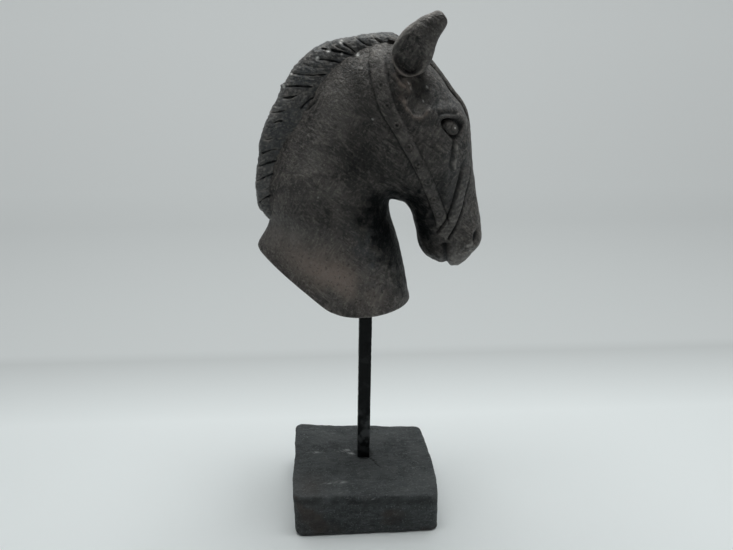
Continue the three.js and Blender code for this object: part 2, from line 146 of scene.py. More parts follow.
# Strokes cut into the mane: from (x, z), to (x, z), depth
STROKES = [
    (5, 288.4, 11, 284, 0.7), (-3.7, 286.9, 4.6, 282.4, 0.9), (-11.9, 284.6, -1.8, 277.9, 1.1),
    (-17, 284.4, -8, 280.4, 0.6), (-22.2, 281.2, -3.1, 277.4, 1.3), (-24, 275.7, -11.1, 273.9, 1.0),
    (-33, 273.4, -20, 271.6, 0.5), (-39, 268.3, -19.2, 268.1, 0.9), (-45, 261.3, -26.8, 261.5, 1.1),
    (-44.1, 255.5, -35.1, 257.3, 0.9), (-33.8, 250.1, -26.4, 256.3, 1.5), (-29.8, 249.7, -25, 253.6, 1.3),
    (-51.4, 247.4, -42.2, 249.4, 0.9), (-49.4, 241.8, -43.9, 243.3, 1.0), (-53.5, 239.4, -47.5, 240.4, 0.5),
    (-55.1, 232.9, -49.7, 234, 0.8), (-57.5, 224.7, -47.9, 227.7, 1.0), (-59.3, 217.2, -48.1, 221.1, 1.0),
    (-60.8, 208.8, -50.2, 213.8, 1.1), (-58.5, 203.4, -51.5, 207.4, 0.5), (-60.4, 196.2, -51, 202.2, 1.0),
]
FORELOCK = np.array([[14, 286.5], [25, 282.3], [35.6, 275], [47.2, 261], [55.2, 250.6], [59.6, 238.5]])
EYE = (48.3, 242.2)
NOSTRIL = (64.8, 180)

# Points along a rib of the head's mesh
ROWS = 124

# White chips, with two painted glints on the inner temple rim at (24.4, 264.4) and (25.6, 261.5): place (x,
# z) and size; the first ones are on the mane
FLECKS = [(-11.2, 284.7, 0.8), (-18.1, 280.6, 1.0), (-11, 278.6, 0.6), (-2.7, 278.7, 1.0),
          (-24.2, 276.5, 0.9), (-39, 268.4, 0.6), (-43.6, 261.5, 0.9), (6.4, 246.2, 0.5),
          (-23.5, 204.1, 0.4), (34.6, 262.5, 0.7), (32.8, 255.3, 0.6), (24.4, 264.4, 0.5), (25.6, 261.5, 0.5)]
MANE_FLECKS = 7

# Smoke stains with painted shade in the temple hollows, down the throat and under the jaw, and pale rubbed
# places: strength, middle (x, z), radii, tilt
DARK_SPOTS = [
    (0.2, 29, 257, 5, 8), (0.3, 30, 265, 4, 5), (0.65, 44.5, 206, 4.5, 10), (0.75, -1, 225, 10, 16),
    (0.6, 1, 194, 10, 9), (0.45, 6, 184, 8, 8), (0.5, 22, 214, 17, 11), (0.3, -22, 193, 16, 7),
    (0.35, 0, 256, 6, 14, 20), (0.35, 18, 258, 2.6, 14, -28), (0.8, 36, 187, 6, 9, -20),
]
PALE_SPOTS = [
    (0.16, -28, 225, 10, 14), (0.2, -10, 250, 11, 12), (0.13, 58, 180, 9, 14), (0.22, -42, 179, 20, 7),
    (0.1, 4, 279, 8, 5),
]
# Smoky bands with painted shade down the throat and along the jaw: widths and strengths along each route
NECK_SMOKE_AND_SHADE_WIDTHS = [9, 10, 11, 12, 12, 11, 10, 9]
NECK_SMOKE_AND_SHADE_STRENGTHS = [0.1, 0.35, 0.9, 1.4, 1.45, 1.3, 0.95, 0.6]
JAW_SMOKE_AND_SHADE_WIDTHS = [8, 10, 10, 9, 8]
JAW_SMOKE_AND_SHADE_STRENGTHS = [0.8, 0.95, 1.15, 0.95, 0.5]

# Scuffs on top of the block: place (x, y), radii, strength
BLOCK_SCUFFS = [(-6.2, 6.0, 2.0, 1.0, 1.0), (-8.5, 9.5, 2.6, 0.8, 0.6), (-30, 7, 3.6, 0.8, 0.55),
                (-14, -26, 3.0, 0.9, 0.55), (-22, -27, 2.4, 0.7, 0.4), (-12, 8, 3.5, 0.7, 0.35)]
BLOCK_CRACK = [(4.5, 2.8), (7.5, -1.5), (9.5, -6.5), (13, -12)]

CLAY_MASKS = ("groove", "worn", "tan", "blue", "dark", "fleck")


def curve_through(rows, u):
    rows = np.asarray(rows, float)
    last = len(rows) - 1
    u = np.atleast_1d(np.asarray(u, float))
    i = np.clip(np.floor(u).astype(int), 0, last - 1)
    f = (u - i)[:, None]
    a, b, c, d = (rows[np.clip(i + k, 0, last)] for k in (-1, 0, 1, 2))
    return b + 0.5 * f * (c - a + f * (2 * a - 5 * b + 4 * c - d + f * (3 * (b - c) + d - a)))


def smooth(low, high, v):
    t = np.clip((v - low) / (high - low), 0, 1)
    return t * t * (3 - 2 * t)


def noise(p, size, seed=0):
    q = np.asarray(p, float) / size
    i = np.floor(q)
    f = q - i
    f = f * f * (3 - 2 * f)
    total = np.zeros(len(q))
    for dx in (0, 1):
        for dy in (0, 1):
            for dz in (0, 1):
                corner = i + np.array([dx, dy, dz])
                h = np.sin(corner @ np.array([127.1, 311.7, 74.7]) + seed * 17.3) * 43758.5453
                h = h - np.floor(h)
                w = np.abs(1 - dx - f[:, 0]) * np.abs(1 - dy - f[:, 1]) * np.abs(1 - dz - f[:, 2])
                total += w * h
    return 2 * total - 1


def layered(p, size, seed=0, octaves=3):
    return sum(noise(p, size / 2**k, seed + k) / 2**k for k in range(octaves))


def beside(route, x, z, samples=240, closed=False, reach=12):
    """Signed distance from a route, share of the way along it, and the route's length."""
    pts = np.asarray(route, float)
    if closed:
        pts = np.vstack([pts[-1:], pts, pts[:2]])
        line = curve_through(pts, np.linspace(1, len(pts) - 2, samples))
    else:
        line = curve_through(pts, np.linspace(0, len(pts) - 1, samples))
    step = np.gradient(line, axis=0)
    step /= np.linalg.norm(step, axis=1)[:, None]
    length = np.linalg.norm(np.diff(line, axis=0), axis=1).sum()
    near = np.full(len(x), 99.0)
    share = np.zeros(len(x))
    low, high = line.min(0) - reach, line.max(0) + reach
    pick = np.where((x > low[0]) & (x < high[0]) & (z > low[1]) & (z < high[1]))[0]
    for part in np.array_split(pick, max(1, len(pick) // 20000)):
        if not len(part):
            continue
        dx = x[part][:, None] - line[:, 0]
        dz = z[part][:, None] - line[:, 1]
        best = np.argmin(dx * dx + dz * dz, axis=1)
        rows = np.arange(len(part))
        bx, bz = dx[rows, best], dz[rows, best]
        side = step[best, 0] * bz - step[best, 1] * bx
        near[part] = np.hypot(bx, bz) * np.where(side < 0, -1, 1)
        share[part] = best / (samples - 1)
    return near, share, length


def swelling(x, z):
    total = np.zeros_like(x)
    for fx, fz, along, across, tilt, height in FORMS:
        c, s = math.cos(math.radians(tilt)), math.sin(math.radians(tilt))
        a = ((z - fz) * c + (x - fx) * s) / along
        b = ((x - fx) * c - (z - fz) * s) / across
        total += height * np.exp(-a * a - b * b)
    return total


def on_rib(u, t):
    """Points at share t of rib u: x, z and half width. u and t are arrays of one shape."""
    rib = curve_through(RIBS, u.ravel())
    t = t.ravel()
    x = rib[:, 0] + (rib[:, 2] - rib[:, 0]) * t
    z = rib[:, 1] + (rib[:, 3] - rib[:, 1]) * t
    warped = np.clip(t, 0, 1) ** (math.log(0.5) / np.log(rib[:, 5]))
    arch = np.maximum(0, 4 * warped * (1 - warped)) ** rib[:, 6]
    return x, z, arch * (rib[:, 4] + swelling(x, z))


def underside_z(x):
    line = curve_through(UNDERSIDE, np.linspace(0, len(UNDERSIDE) - 1, 300))
    order = np.argsort(line[:, 0])
    return np.interp(x, line[order, 0], line[order, 1])


def head_to_world(p):
    c, s = math.cos(HEAD_TURN), math.sin(HEAD_TURN)
    out = np.empty_like(p)
    out[:, 0] = c * p[:, 0] - s * p[:, 1] + HEAD_X
    out[:, 1] = s * p[:, 0] + c * p[:, 1] + BAR_Y
    out[:, 2] = p[:, 2]
    return out


def outward(points, faces):
    """The faces, turned so that the volume they enclose is positive."""
    p = points - points.mean(0)
    tri = np.array([(f[0], f[k], f[k + 1]) for f in faces for k in range(1, len(f) - 1)])
    volume = np.einsum("ij,ij->i", p[tri[:, 0]], np.cross(p[tri[:, 1]], p[tri[:, 2]])).sum()
    return faces if volume > 0 else [f[::-1] for f in faces]


def make_piece(name, points, faces, material, node, masks):
    """A piece from points in millimetres. Points past the end of a mask are bare."""
    mesh = bpy.data.meshes.new(name)
    mesh.from_pydata((points / 1000).tolist(), [], outward(points, faces))
    mesh.update()
    for key, values in masks.items():
        layer = mesh.attributes.new(key, "FLOAT", "POINT")
        bare = np.zeros(len(points) - len(values))
        layer.data.foreach_set("value", np.concatenate([values, bare]).astype(np.float32))
    mesh.polygons.foreach_set("use_smooth", [True] * len(mesh.polygons))
    mesh.materials.append(material)
    piece = bpy.data.objects.new(name, mesh)
    bpy.context.scene.collection.objects.link(piece)
    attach(piece, "root")
    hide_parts(node)


def make_clay(name, points, faces, **masks):
    full = {key: masks.get(key, np.zeros(len(points))) for key in CLAY_MASKS}
    make_piece(name, head_to_world(points), faces, CLAY, "horse_head", full)


def ring_faces(rings, count):
    faces = []
    for i in range(rings - 1):
        a = i * count
        for j in range(count):
            k = (j + 1) % count
            faces.append((a + j, a + k, a + count + k, a + count + j))
    return faces


def fan(middle, ring, flip):
    count = len(ring)
    if flip:
        return [(middle, ring[(j + 1) % count], ring[j]) for j in range(count)]
    return [(middle, ring[j], ring[(j + 1) % count]) for j in range(count)]


def capped(p, count):
    """Points and faces of rings of points, closed by a fan at each end."""
    total = len(p)
    faces = ring_faces(total // count, count)
    faces += fan(total, list(range(count)), True)
    faces += fan(total + 1, list(range(total - count, total)), False)
    return np.concatenate([p, p[:count].mean(0, keepdims=True), p[-count:].mean(0, keepdims=True)]), faces


def grid_normals(grid):
    """Outward normals of rings of points, shape (rings, count, 3)."""
    around = np.roll(grid, -1, 1) - np.roll(grid, 1, 1)
    along = np.gradient(grid, axis=0)
    n = np.cross(around, along)
    size = np.linalg.norm(n, axis=2, keepdims=True)
    return n / np.maximum(size, 1e-9)


# Materials


def tree_of(name):
    material = bpy.data.materials.new(name)
    material.use_nodes = True
    return material, material.node_tree


def add(tree, kind, inputs=None, **settings):
    node = tree.nodes.new(kind)
    for key, value in settings.items():
        setattr(node, key, value)
    for key, value in (inputs or {}).items():
        if isinstance(value, bpy.types.NodeSocket):
            tree.links.new(value, node.inputs[key])
        else:
            node.inputs[key].default_value = value
    return node


def mask(tree, name):
    return add(tree, "ShaderNodeAttribute", attribute_name=name).outputs["Fac"]


def grain(tree, coords, scale, detail=4.0, rough=0.6, stretch=None, turn=None):
    if stretch:
        coords = add(tree, "ShaderNodeMapping", {
            "Vector": coords, "Rotation": turn, "Scale": stretch}, vector_type="TEXTURE").outputs[0]
    return add(tree, "ShaderNodeTexNoise", {
        "Vector": coords, "Scale": scale, "Detail": detail, "Roughness": rough}).outputs["Fac"]


def span(tree, value, low, high, out_low=0.0, out_high=1.0):
    return add(tree, "ShaderNodeMapRange", {
        "Value": value, "From Min": low, "From Max": high,
        "To Min": out_low, "To Max": out_high}).outputs[0]


def math_node(tree, operation, a, b):
    return add(tree, "ShaderNodeMath", {0: a, 1: b}, operation=operation, use_clamp=True).outputs[0]


def blend(tree, share, under, over):
    node = add(tree, "ShaderNodeMix", data_type="RGBA")
    for socket, value in ((node.inputs[0], share), (node.inputs[6], under), (node.inputs[7], over)):
        if isinstance(value, bpy.types.NodeSocket):
            tree.links.new(value, socket)
        else:
            socket.default_value = value if not isinstance(value, tuple) else (*value, 1.0)
    return node.outputs[2]


def clay_material():
    material, tree = tree_of("smoked_terracotta")
    shader = tree.nodes["Principled BSDF"]
    coords = add(tree, "ShaderNodeTexCoord").outputs["Object"]
    broad = span(tree, grain(tree, coords, 34, 5, 0.62), 0.36, 0.66)
    smoke = span(tree, grain(tree, coords, 85, 6, 0.66), 0.50, 0.68)
    mottle = span(tree, grain(tree, coords, 170, 5, 0.7), 0.42, 0.66)
    speck = span(tree, grain(tree, coords, 620, 3, 0.65), 0.54, 0.68)
    pores = span(tree, grain(tree, coords, 480, 3, 0.6), 0.44, 0.30)
    sloping = grain(tree, coords, 800, 3, 0.6, (6.5, 1.6, 1), (0, math.radians(36), 0))
    steep = grain(tree, coords, 800, 3, 0.6, (6.5, 1.6, 1), (0, math.radians(-62), 0))
    which = span(tree, grain(tree, coords, 45, 2, 0.5), 0.44, 0.56)
    brush = add(tree, "ShaderNodeMix", {0: which, 2: sloping, 3: steep}, data_type="FLOAT").outputs[0]
    streak = span(tree, brush, 0.50, 0.66)
    colour = blend(tree, broad, (0.028, 0.027, 0.026), (0.102, 0.094, 0.087))
    colour = blend(tree, math_node(tree, "MULTIPLY", mottle, 0.8), colour, (0.166, 0.151, 0.138))
    colour = blend(tree, math_node(tree, "MULTIPLY", smoke, 0.82), colour, (0.015, 0.0155, 0.016))
    colour = blend(tree, math_node(tree, "MULTIPLY", streak, 0.55), colour, (0.26, 0.236, 0.214))
    colour = blend(tree, mask(tree, "tan"), colour, (0.33, 0.265, 0.225))
    colour = blend(tree, mask(tree, "blue"), colour, (0.105, 0.115, 0.121))
    colour = blend(tree, math_node(tree, "MULTIPLY", speck, 0.5), colour, (0.33, 0.30, 0.27))
    colour = blend(tree, math_node(tree, "MULTIPLY", pores, 0.6), colour, (0.012, 0.012, 0.012))
    # dark mask: smoke stains with painted shade down the throat, under the jaw and in the temple hollows; it
    # also lowers the specular there
    patchy = span(tree, grain(tree, coords, 210, 5, 0.7), 0.36, 0.6, 1.35, 0.85)
    stain = math_node(tree, "MULTIPLY", mask(tree, "dark"), patchy)
    colour = blend(tree, stain, colour, (0.0065, 0.008, 0.0085))
    # worn mask: pale rubbed wear, with painted highlights on the nose rope, the vein and the ear
    colour = blend(tree, mask(tree, "worn"), colour, (0.33, 0.31, 0.285))
    # groove mask: near-black painted shade in the cuts, hollows and openings
    colour = blend(tree, mask(tree, "groove"), colour, (0.006, 0.0062, 0.0064))
    # fleck mask: white chips, with painted glints on the temple rim and a painted highlight in the near eye
    colour = blend(tree, mask(tree, "fleck"), colour, (0.82, 0.81, 0.78))
    tree.links.new(colour, shader.inputs["Base Color"])
    tree.links.new(span(tree, mottle, 0, 1, 0.42, 0.7), shader.inputs["Roughness"])
    tree.links.new(span(tree, stain, 0, 1, 0.36, 0.08), shader.inputs["Specular IOR Level"])
    pits = grain(tree, coords, 800, 3, 0.6)
    lumps = grain(tree, coords, 300, 4, 0.65)
    first = add(tree, "ShaderNodeBump", {"Strength": 0.85, "Distance": 0.0016, "Height": lumps})
    second = add(tree, "ShaderNodeBump", {
        "Strength": 0.65, "Distance": 0.001, "Height": brush, "Normal": first.outputs[0]})
    third = add(tree, "ShaderNodeBump", {
        "Strength": 0.6, "Distance": 0.0007, "Height": pits, "Normal": second.outputs[0]})
    tree.links.new(third.outputs[0], shader.inputs["Normal"])
    return material


def block_material():
    material, tree = tree_of("slate_grey_block")
    shader = tree.nodes["Principled BSDF"]
    coords = add(tree, "ShaderNodeTexCoord").outputs["Object"]
    broad = span(tree, grain(tree, coords, 40, 5, 0.65), 0.35, 0.66)
    fine = span(tree, grain(tree, coords, 330, 4, 0.68), 0.38, 0.66)
    brush = grain(tree, coords, 640, 3, 0.65, (5, 1.2, 1.1), (0, 0, math.radians(6)))
    lines = span(tree, brush, 0.48, 0.68)
    speck = span(tree, grain(tree, coords, 950, 2, 0.6), 0.58, 0.69)
    pits = span(tree, grain(tree, coords, 430, 3, 0.62), 0.44, 0.31)
    colour = blend(tree, broad, (0.022, 0.0252, 0.0262), (0.050, 0.0555, 0.0565))
    colour = blend(tree, math_node(tree, "MULTIPLY", fine, 0.6), colour, (0.082, 0.088, 0.090))
    colour = blend(tree, math_node(tree, "MULTIPLY", lines, 0.38), colour, (0.125, 0.134, 0.136))
    colour = blend(tree, math_node(tree, "MULTIPLY", speck, 0.4), colour, (0.26, 0.275, 0.275))
    colour = blend(tree, math_node(tree, "MULTIPLY", pits, 0.6), colour, (0.009, 0.011, 0.011))
    colour = blend(tree, mask(tree, "rust"), colour, (0.060, 0.042, 0.035))
    colour = blend(tree, mask(tree, "worn"), colour, (0.12, 0.128, 0.128))
    colour = blend(tree, mask(tree, "groove"), colour, (0.006, 0.007, 0.007))
    colour = blend(tree, mask(tree, "fleck"), colour, (0.62, 0.64, 0.63))
    tree.links.new(colour, shader.inputs["Base Color"])
    tree.links.new(span(tree, fine, 0, 1, 0.6, 0.82), shader.inputs["Roughness"])
    shader.inputs["Specular IOR Level"].default_value = 0.3
    first = add(tree, "ShaderNodeBump", {"Strength": 0.45, "Distance": 0.0008, "Height": fine})
    second = add(tree, "ShaderNodeBump", {
        "Strength": 0.3, "Distance": 0.0006, "Height": brush, "Normal": first.outputs[0]})
    tree.links.new(second.outputs[0], shader.inputs["Normal"])
    return material


def bar_material():
    material, tree = tree_of("black_iron")
    shader = tree.nodes["Principled BSDF"]
    coords = add(tree, "ShaderNodeTexCoord").outputs["Object"]
    broad = span(tree, grain(tree, coords, 60, 5, 0.6), 0.35, 0.7)
    fine = span(tree, grain(tree, coords, 420, 4, 0.65), 0.4, 0.7)
    colour = blend(tree, broad, (0.0028, 0.0036, 0.004), (0.0065, 0.0078, 0.0082))
    colour = blend(tree, math_node(tree, "MULTIPLY", fine, 0.25), colour, (0.02, 0.022, 0.023))
    colour = blend(tree, mask(tree, "worn"), colour, (0.105, 0.112, 0.114))
    tree.links.new(colour, shader.inputs["Base Color"])
    tree.links.new(span(tree, fine, 0, 1, 0.42, 0.65), shader.inputs["Roughness"])
    shader.inputs["Specular IOR Level"].default_value = 0.16
    bump = add(tree, "ShaderNodeBump", {"Strength": 0.35, "Distance": 0.0005, "Height": fine})
    tree.links.new(bump.outputs[0], shader.inputs["Normal"])
    return material


CLAY = clay_material()
SLATE = block_material()
IRON = bar_material()


def spot(x, z, cx, cz, rx, rz=None, tilt=0.0):
    rz = rz or rx
    c, s = math.cos(math.radians(tilt)), math.sin(math.radians(tilt))
    a = ((x - cx) * c + (z - cz) * s) / rx
    b = (-(x - cx) * s + (z - cz) * c) / rz
    return np.exp(-a * a - b * b)


def spots(rows, x, z):
    return sum(strength * spot(x, z, *place) for strength, *place in rows)


# Neck and face


def band(route, x, z, widths, strengths):
    """A soft band along a route, with widths and strengths that change on the way."""
    d, s, _ = beside(route, x, z, reach=34)
    wide = np.interp(s, np.linspace(0, 1, len(widths)), widths)
    strong = np.interp(s, np.linspace(0, 1, len(strengths)), strengths)
    return strong * np.exp(-((d / wide) ** 2))


def head_columns():
    fine = np.linspace(2, len(RIBS) - 1, 3000)
    rib = curve_through(RIBS, fine)
    crest = rib[:, :2]
    middle = 0.55 * rib[:, :2] + 0.45 * rib[:, 2:4]
    step = np.linalg.norm(np.diff(crest, axis=0), axis=1) + np.linalg.norm(np.diff(middle, axis=0), axis=1)
    weight = 1 + 0.75 * smooth(8.5, 10.5, fine[1:])
    total = np.concatenate([[0], np.cumsum(step * weight)])
    return np.interp(np.linspace(0, total[-1], 310), total, fine)


def even_shares(u):
    """Shares along each rib that are evenly spaced over the skin."""
    many = (1 - np.cos(np.linspace(0, np.pi, 500))) / 2
    out = np.empty((len(u), ROWS + 1))
    for k, value in enumerate(u):
        x, z, w = on_rib(np.full(500, value), many)
        run = np.sqrt(np.diff(x) ** 2 + np.diff(z) ** 2 + np.diff(w) ** 2)
        total = np.concatenate([[0], np.cumsum(run)])
        out[k] = np.interp(np.linspace(0, total[-1], ROWS + 1), total, many)
    return out


def head_grid():
    u = head_columns()
    t = even_shares(u)
    upper = np.stack(on_rib(np.repeat(u[:, None], ROWS + 1, 1), t), -1).reshape(len(u), ROWS + 1, 3)
    # below the second rib the columns run down to the cut under the neck
    start = t[0]
    trial = np.linspace(0, 2, 401)
    cut = np.empty(ROWS + 1)
    for j, share in enumerate(start):
        x, z, _ = on_rib(trial, np.full(401, share))
        above = z - underside_z(x)
        first = int(np.argmax(above > 0))
        before = max(first - 1, 0)
        gap = above[first] - above[before]
        cut[j] = trial[first] - (above[first] / gap) * (trial[1] - trial[0]) if first else 0
    x, z, _ = on_rib(cut, start)
    from_tip = np.hypot(x - x[0], z - z[0])
    cut = cut + 2.2 / 19 * (1 - np.sqrt(1 - (1 - np.clip(from_tip / 4.0, 0, 1)) ** 2))
    lower_count = 52
    lower = []
    for k in range(lower_count):
        share = k / lower_count
        x, z, w = on_rib(cut + (2 - cut) * share, start)
        lower.append(np.stack([x, z, w], -1))
    lower = np.array(lower)
    rim = np.clip(np.linalg.norm(lower[:, :, :2] - lower[0, :, :2], axis=2) / 1.6, 0, 1)
    lower[:, :, 2] -= 1.3 * (1 - np.sqrt(1 - (1 - rim) ** 2)) * smooth(0, 4, lower[:, :, 2])
    return np.concatenate([lower, upper])


def stroke_cuts(x, z):
    """Depth of the mane's strokes at each point."""
    cut = np.zeros_like(x)
    for x0, z0, x1, z1, depth in STROKES:
        run = np.array([x1 - x0, z1 - z0])
        length = np.hypot(*run)
        run = run / length
        along = (x - x0) * run[0] + (z - z0) * run[1]
        bend = 0.5 * np.sin(np.pi * np.clip(along / length, 0, 1)) * (1 if depth > 0.95 else -1)
        off = (z - z0) * run[0] - (x - x0) * run[1] - bend
        reach = smooth(-1.2, 1.0, along) * smooth(length + 1.2, length - 2.0, along)
        cut = np.maximum(cut, depth * np.exp(-((off / 0.62) ** 2)) * reach)
    return cut


def head_relief(x, z, side, ny):
    """Heights above the skin, with masks of painted shade in the cuts (groove), of wear with painted
    highlights (worn) and of tan; the last one marks the straps.
    """
    flat = smooth(0.25, 0.6, ny)
    p = np.stack([x, side * 40, z], -1)
    rough = noise(p, 2.2, 5)
    h = np.zeros_like(x)
    groove = np.zeros_like(x)
    worn = np.zeros_like(x)

    d, s, _ = beside(CHEEK_STRAP, x, z)
    half = 4.1 - 1.0 * smooth(0.2, 0.6, s) + 0.3 * noise(p, 8, 3)
    there = smooth(0.0, 0.03, s) * smooth(1.0, 0.985, s)
    on_strap = smooth(half + 0.6, half - 0.6, np.abs(d)) * there
    # A line of painted shade along both strap edges, heavier on the left side.
    edge = np.exp(-(((np.abs(d) - half - 0.4) / 0.55) ** 2)) * there
    left_edge = np.where(d < 0, 1.0, 0.75) * smooth(-0.7, 0.3, noise(p, 7, 6) + 0.25)
    h += flat * STRAP_RAISE * on_strap * (1 - 0.15 * (d / half) ** 2 + 0.18 * rough)
    h -= flat * 0.55 * edge * left_edge
    groove += flat * edge * left_edge * 0.85
    worn += flat * on_strap * (0.08 + 0.16 * smooth(-0.2, 0.6, rough))
    # Painted shade in a broad hollow beside the upper strap's right edge.
    beyond = np.exp(-(((np.abs(d) - half - 1.6) / 1.4) ** 2)) * there * (d > 0) * smooth(0.6, 0.35, s)
    h -= flat * 0.5 * beyond
    groove += flat * 0.3 * beyond
    # Each stud's sunk centre and ring are darkened with painted shade.
    for at in STUDS:
        r = np.hypot(x - at[0], z - at[1])
        h -= 0.4 * np.exp(-((r / 0.9) ** 2))
        groove += 0.85 * np.exp(-((r / 0.85) ** 2)) + 0.6 * np.exp(-(((r - 2.1) / 0.42) ** 2))

    d, s, length = beside(NOSE_STRAP, x, z)
    half = 3.2 - 0.9 * s
    there = smooth(0.0, 0.02, s) * smooth(1.0, 0.8, s)
    on_nose = smooth(half + 0.4, half - 0.8, np.abs(d)) * there
    dome = np.sqrt(np.clip(1 - (d / (half + 0.5)) ** 2, 0, 1))
    twist = np.sin(2 * np.pi * (s * length / 3.1 + d / 4.6) + 0.8 * noise(p, 6, 7))
    edge = np.exp(-(((np.abs(d) - half - 0.5) / 0.6) ** 2)) * there
    h += flat * (on_nose * (0.4 + 1.1 * dome + 0.14 * twist + 0.3 * rough) - 0.8 * edge)
    # Painted shade along the rope's edges and in its troughs.
    groove += flat * (0.85 * edge + 0.2 * on_nose * smooth(0.0, -0.9, twist))
    # Lighter crests and specks on the rope: rubbed wear with painted highlights.
    rope_wear_and_highlight = 0.1 + 0.16 * smooth(0.0, 0.9, twist) + 0.3 * smooth(0.1, 0.7, noise(p, 1.4, 14))
    worn += flat * on_nose * rope_wear_and_highlight

    tan = np.zeros_like(x)
    for route in (TEMPLE_RIM_UPPER, TEMPLE_RIM_INNER, TEMPLE_RIM_LOWER):
        d, s, _ = beside(route, x, z)
        d = d + 0.6 * noise(p, 3.5, 12)
        wide = 0.95 + 0.35 * noise(p, 3, 8)
        ridge = np.exp(-((d / wide) ** 2)) * smooth(0.0, 0.08, s) * smooth(1.0, 0.85, s)
        h += flat * ridge * (1.3 + 0.7 * noise(p, 2.0, 9))
        tan = np.maximum(tan, ridge * (0.65 + 0.6 * noise(p, 1.5, 10)))

    d, s, _ = beside(EYE_OPENING, x, z, closed=True)
    within = np.where(d[np.argmin(np.hypot(x - EYE[0], z - EYE[1]))] < 0, -1.0, 1.0) * d
    within = np.where(np.hypot(x - 48, z - 241.5) < 11, within, -9.0)
    deep = smooth(-0.2, 1.0, within)
    lid = np.exp(-(((within + 0.9) / 0.8) ** 2))
    upper = smooth(240, 246, z)
    h += flat * (-2.2 * deep + (0.15 + 0.55 * upper) * lid)
    # The eye opening is painted near-black as shade; the lid is a little lighter.
    groove += 1.0 * smooth(0.0, 0.7, within)
    worn += flat * 0.1 * lid

    d, s, _ = beside(BROW_LINE, x, z)
    line = np.exp(-((d / 1.0) ** 2)) * smooth(0.0, 0.15, s) * smooth(1.0, 0.85, s)
    h -= flat * 1.0 * line
    # Painted shadow under the brow.
    groove += flat * 0.8 * line
    over = np.exp(-(((d - 2.4) / 1.4) ** 2)) * smooth(0.0, 0.15, s) * smooth(1.0, 0.85, s)
    h += flat * 0.5 * over
    d, s, _ = beside(TEAR_LINE, x, z)
    line = np.exp(-(((d + 0.5 * noise(p, 4, 13)) / 0.9) ** 2)) * smooth(1.0, 0.4, s)
    h -= flat * 0.6 * line
    # The tear line is darkened in specks as painted shade.
    groove += flat * 0.85 * line * smooth(-0.7, 0.4, rough)
    d, s, _ = beside(VEIN_LINE, x, z)
    line = np.exp(-((d / 1.1) ** 2)) * smooth(1.0, 0.7, s) * smooth(0.0, 0.1, s)
    h += flat * line * (0.6 + 0.5 * rough)
    # Pale specks along the vein: painted highlights with some rubbed wear.
    worn += flat * 0.9 * line * smooth(0.0, 0.5, rough)

    d, s, _ = beside(MOUTH_LINE, x, z)
    wide = 2.3 - 0.8 * smooth(0.0, 0.45, s)
    line = np.exp(-((d / wide) ** 2)) * smooth(0.0, 0.06, s)
    h -= (2.6 - 1.4 * s) * line
    # The mouth slit is painted near-black as shade.
    groove += 1.1 * np.exp(-((d / (wide * 0.9)) ** 2)) * smooth(0.0, 0.05, s)
    lips = np.exp(-(((np.abs(d) - wide - 1.6) / 1.3) ** 2)) * smooth(0.05, 0.3, s)
    h += 0.45 * lips * (1 + 0.8 * rough)
    worn += 0.18 * lips * smooth(0.0, 0.6, rough)

    hole = spot(x, z, *NOSTRIL, 1.6, 4.4, -14)
    h -= 2.0 * hole
    # The nostril hole is painted near-black as shade.
    groove += 1.0 * smooth(0.3, 0.8, hole)
    h += 0.6 * np.exp(-(((np.hypot((x - NOSTRIL[0]) / 1.0, (z - NOSTRIL[1]) / 2.4) - 2.5) / 0.7) ** 2))

    cut = stroke_cuts(x, z) * smooth(0.2, 0.5, ny)
    h -= cut
    # The stroke cuts are darkened with painted shade.
    groove += 0.9 * smooth(0.2, 0.9, cut)
    straps = flat * np.maximum(on_strap, on_nose)
    return h, np.clip(groove, 0, 1), np.clip(worn, 0, 1), np.clip(tan, 0, 1), straps


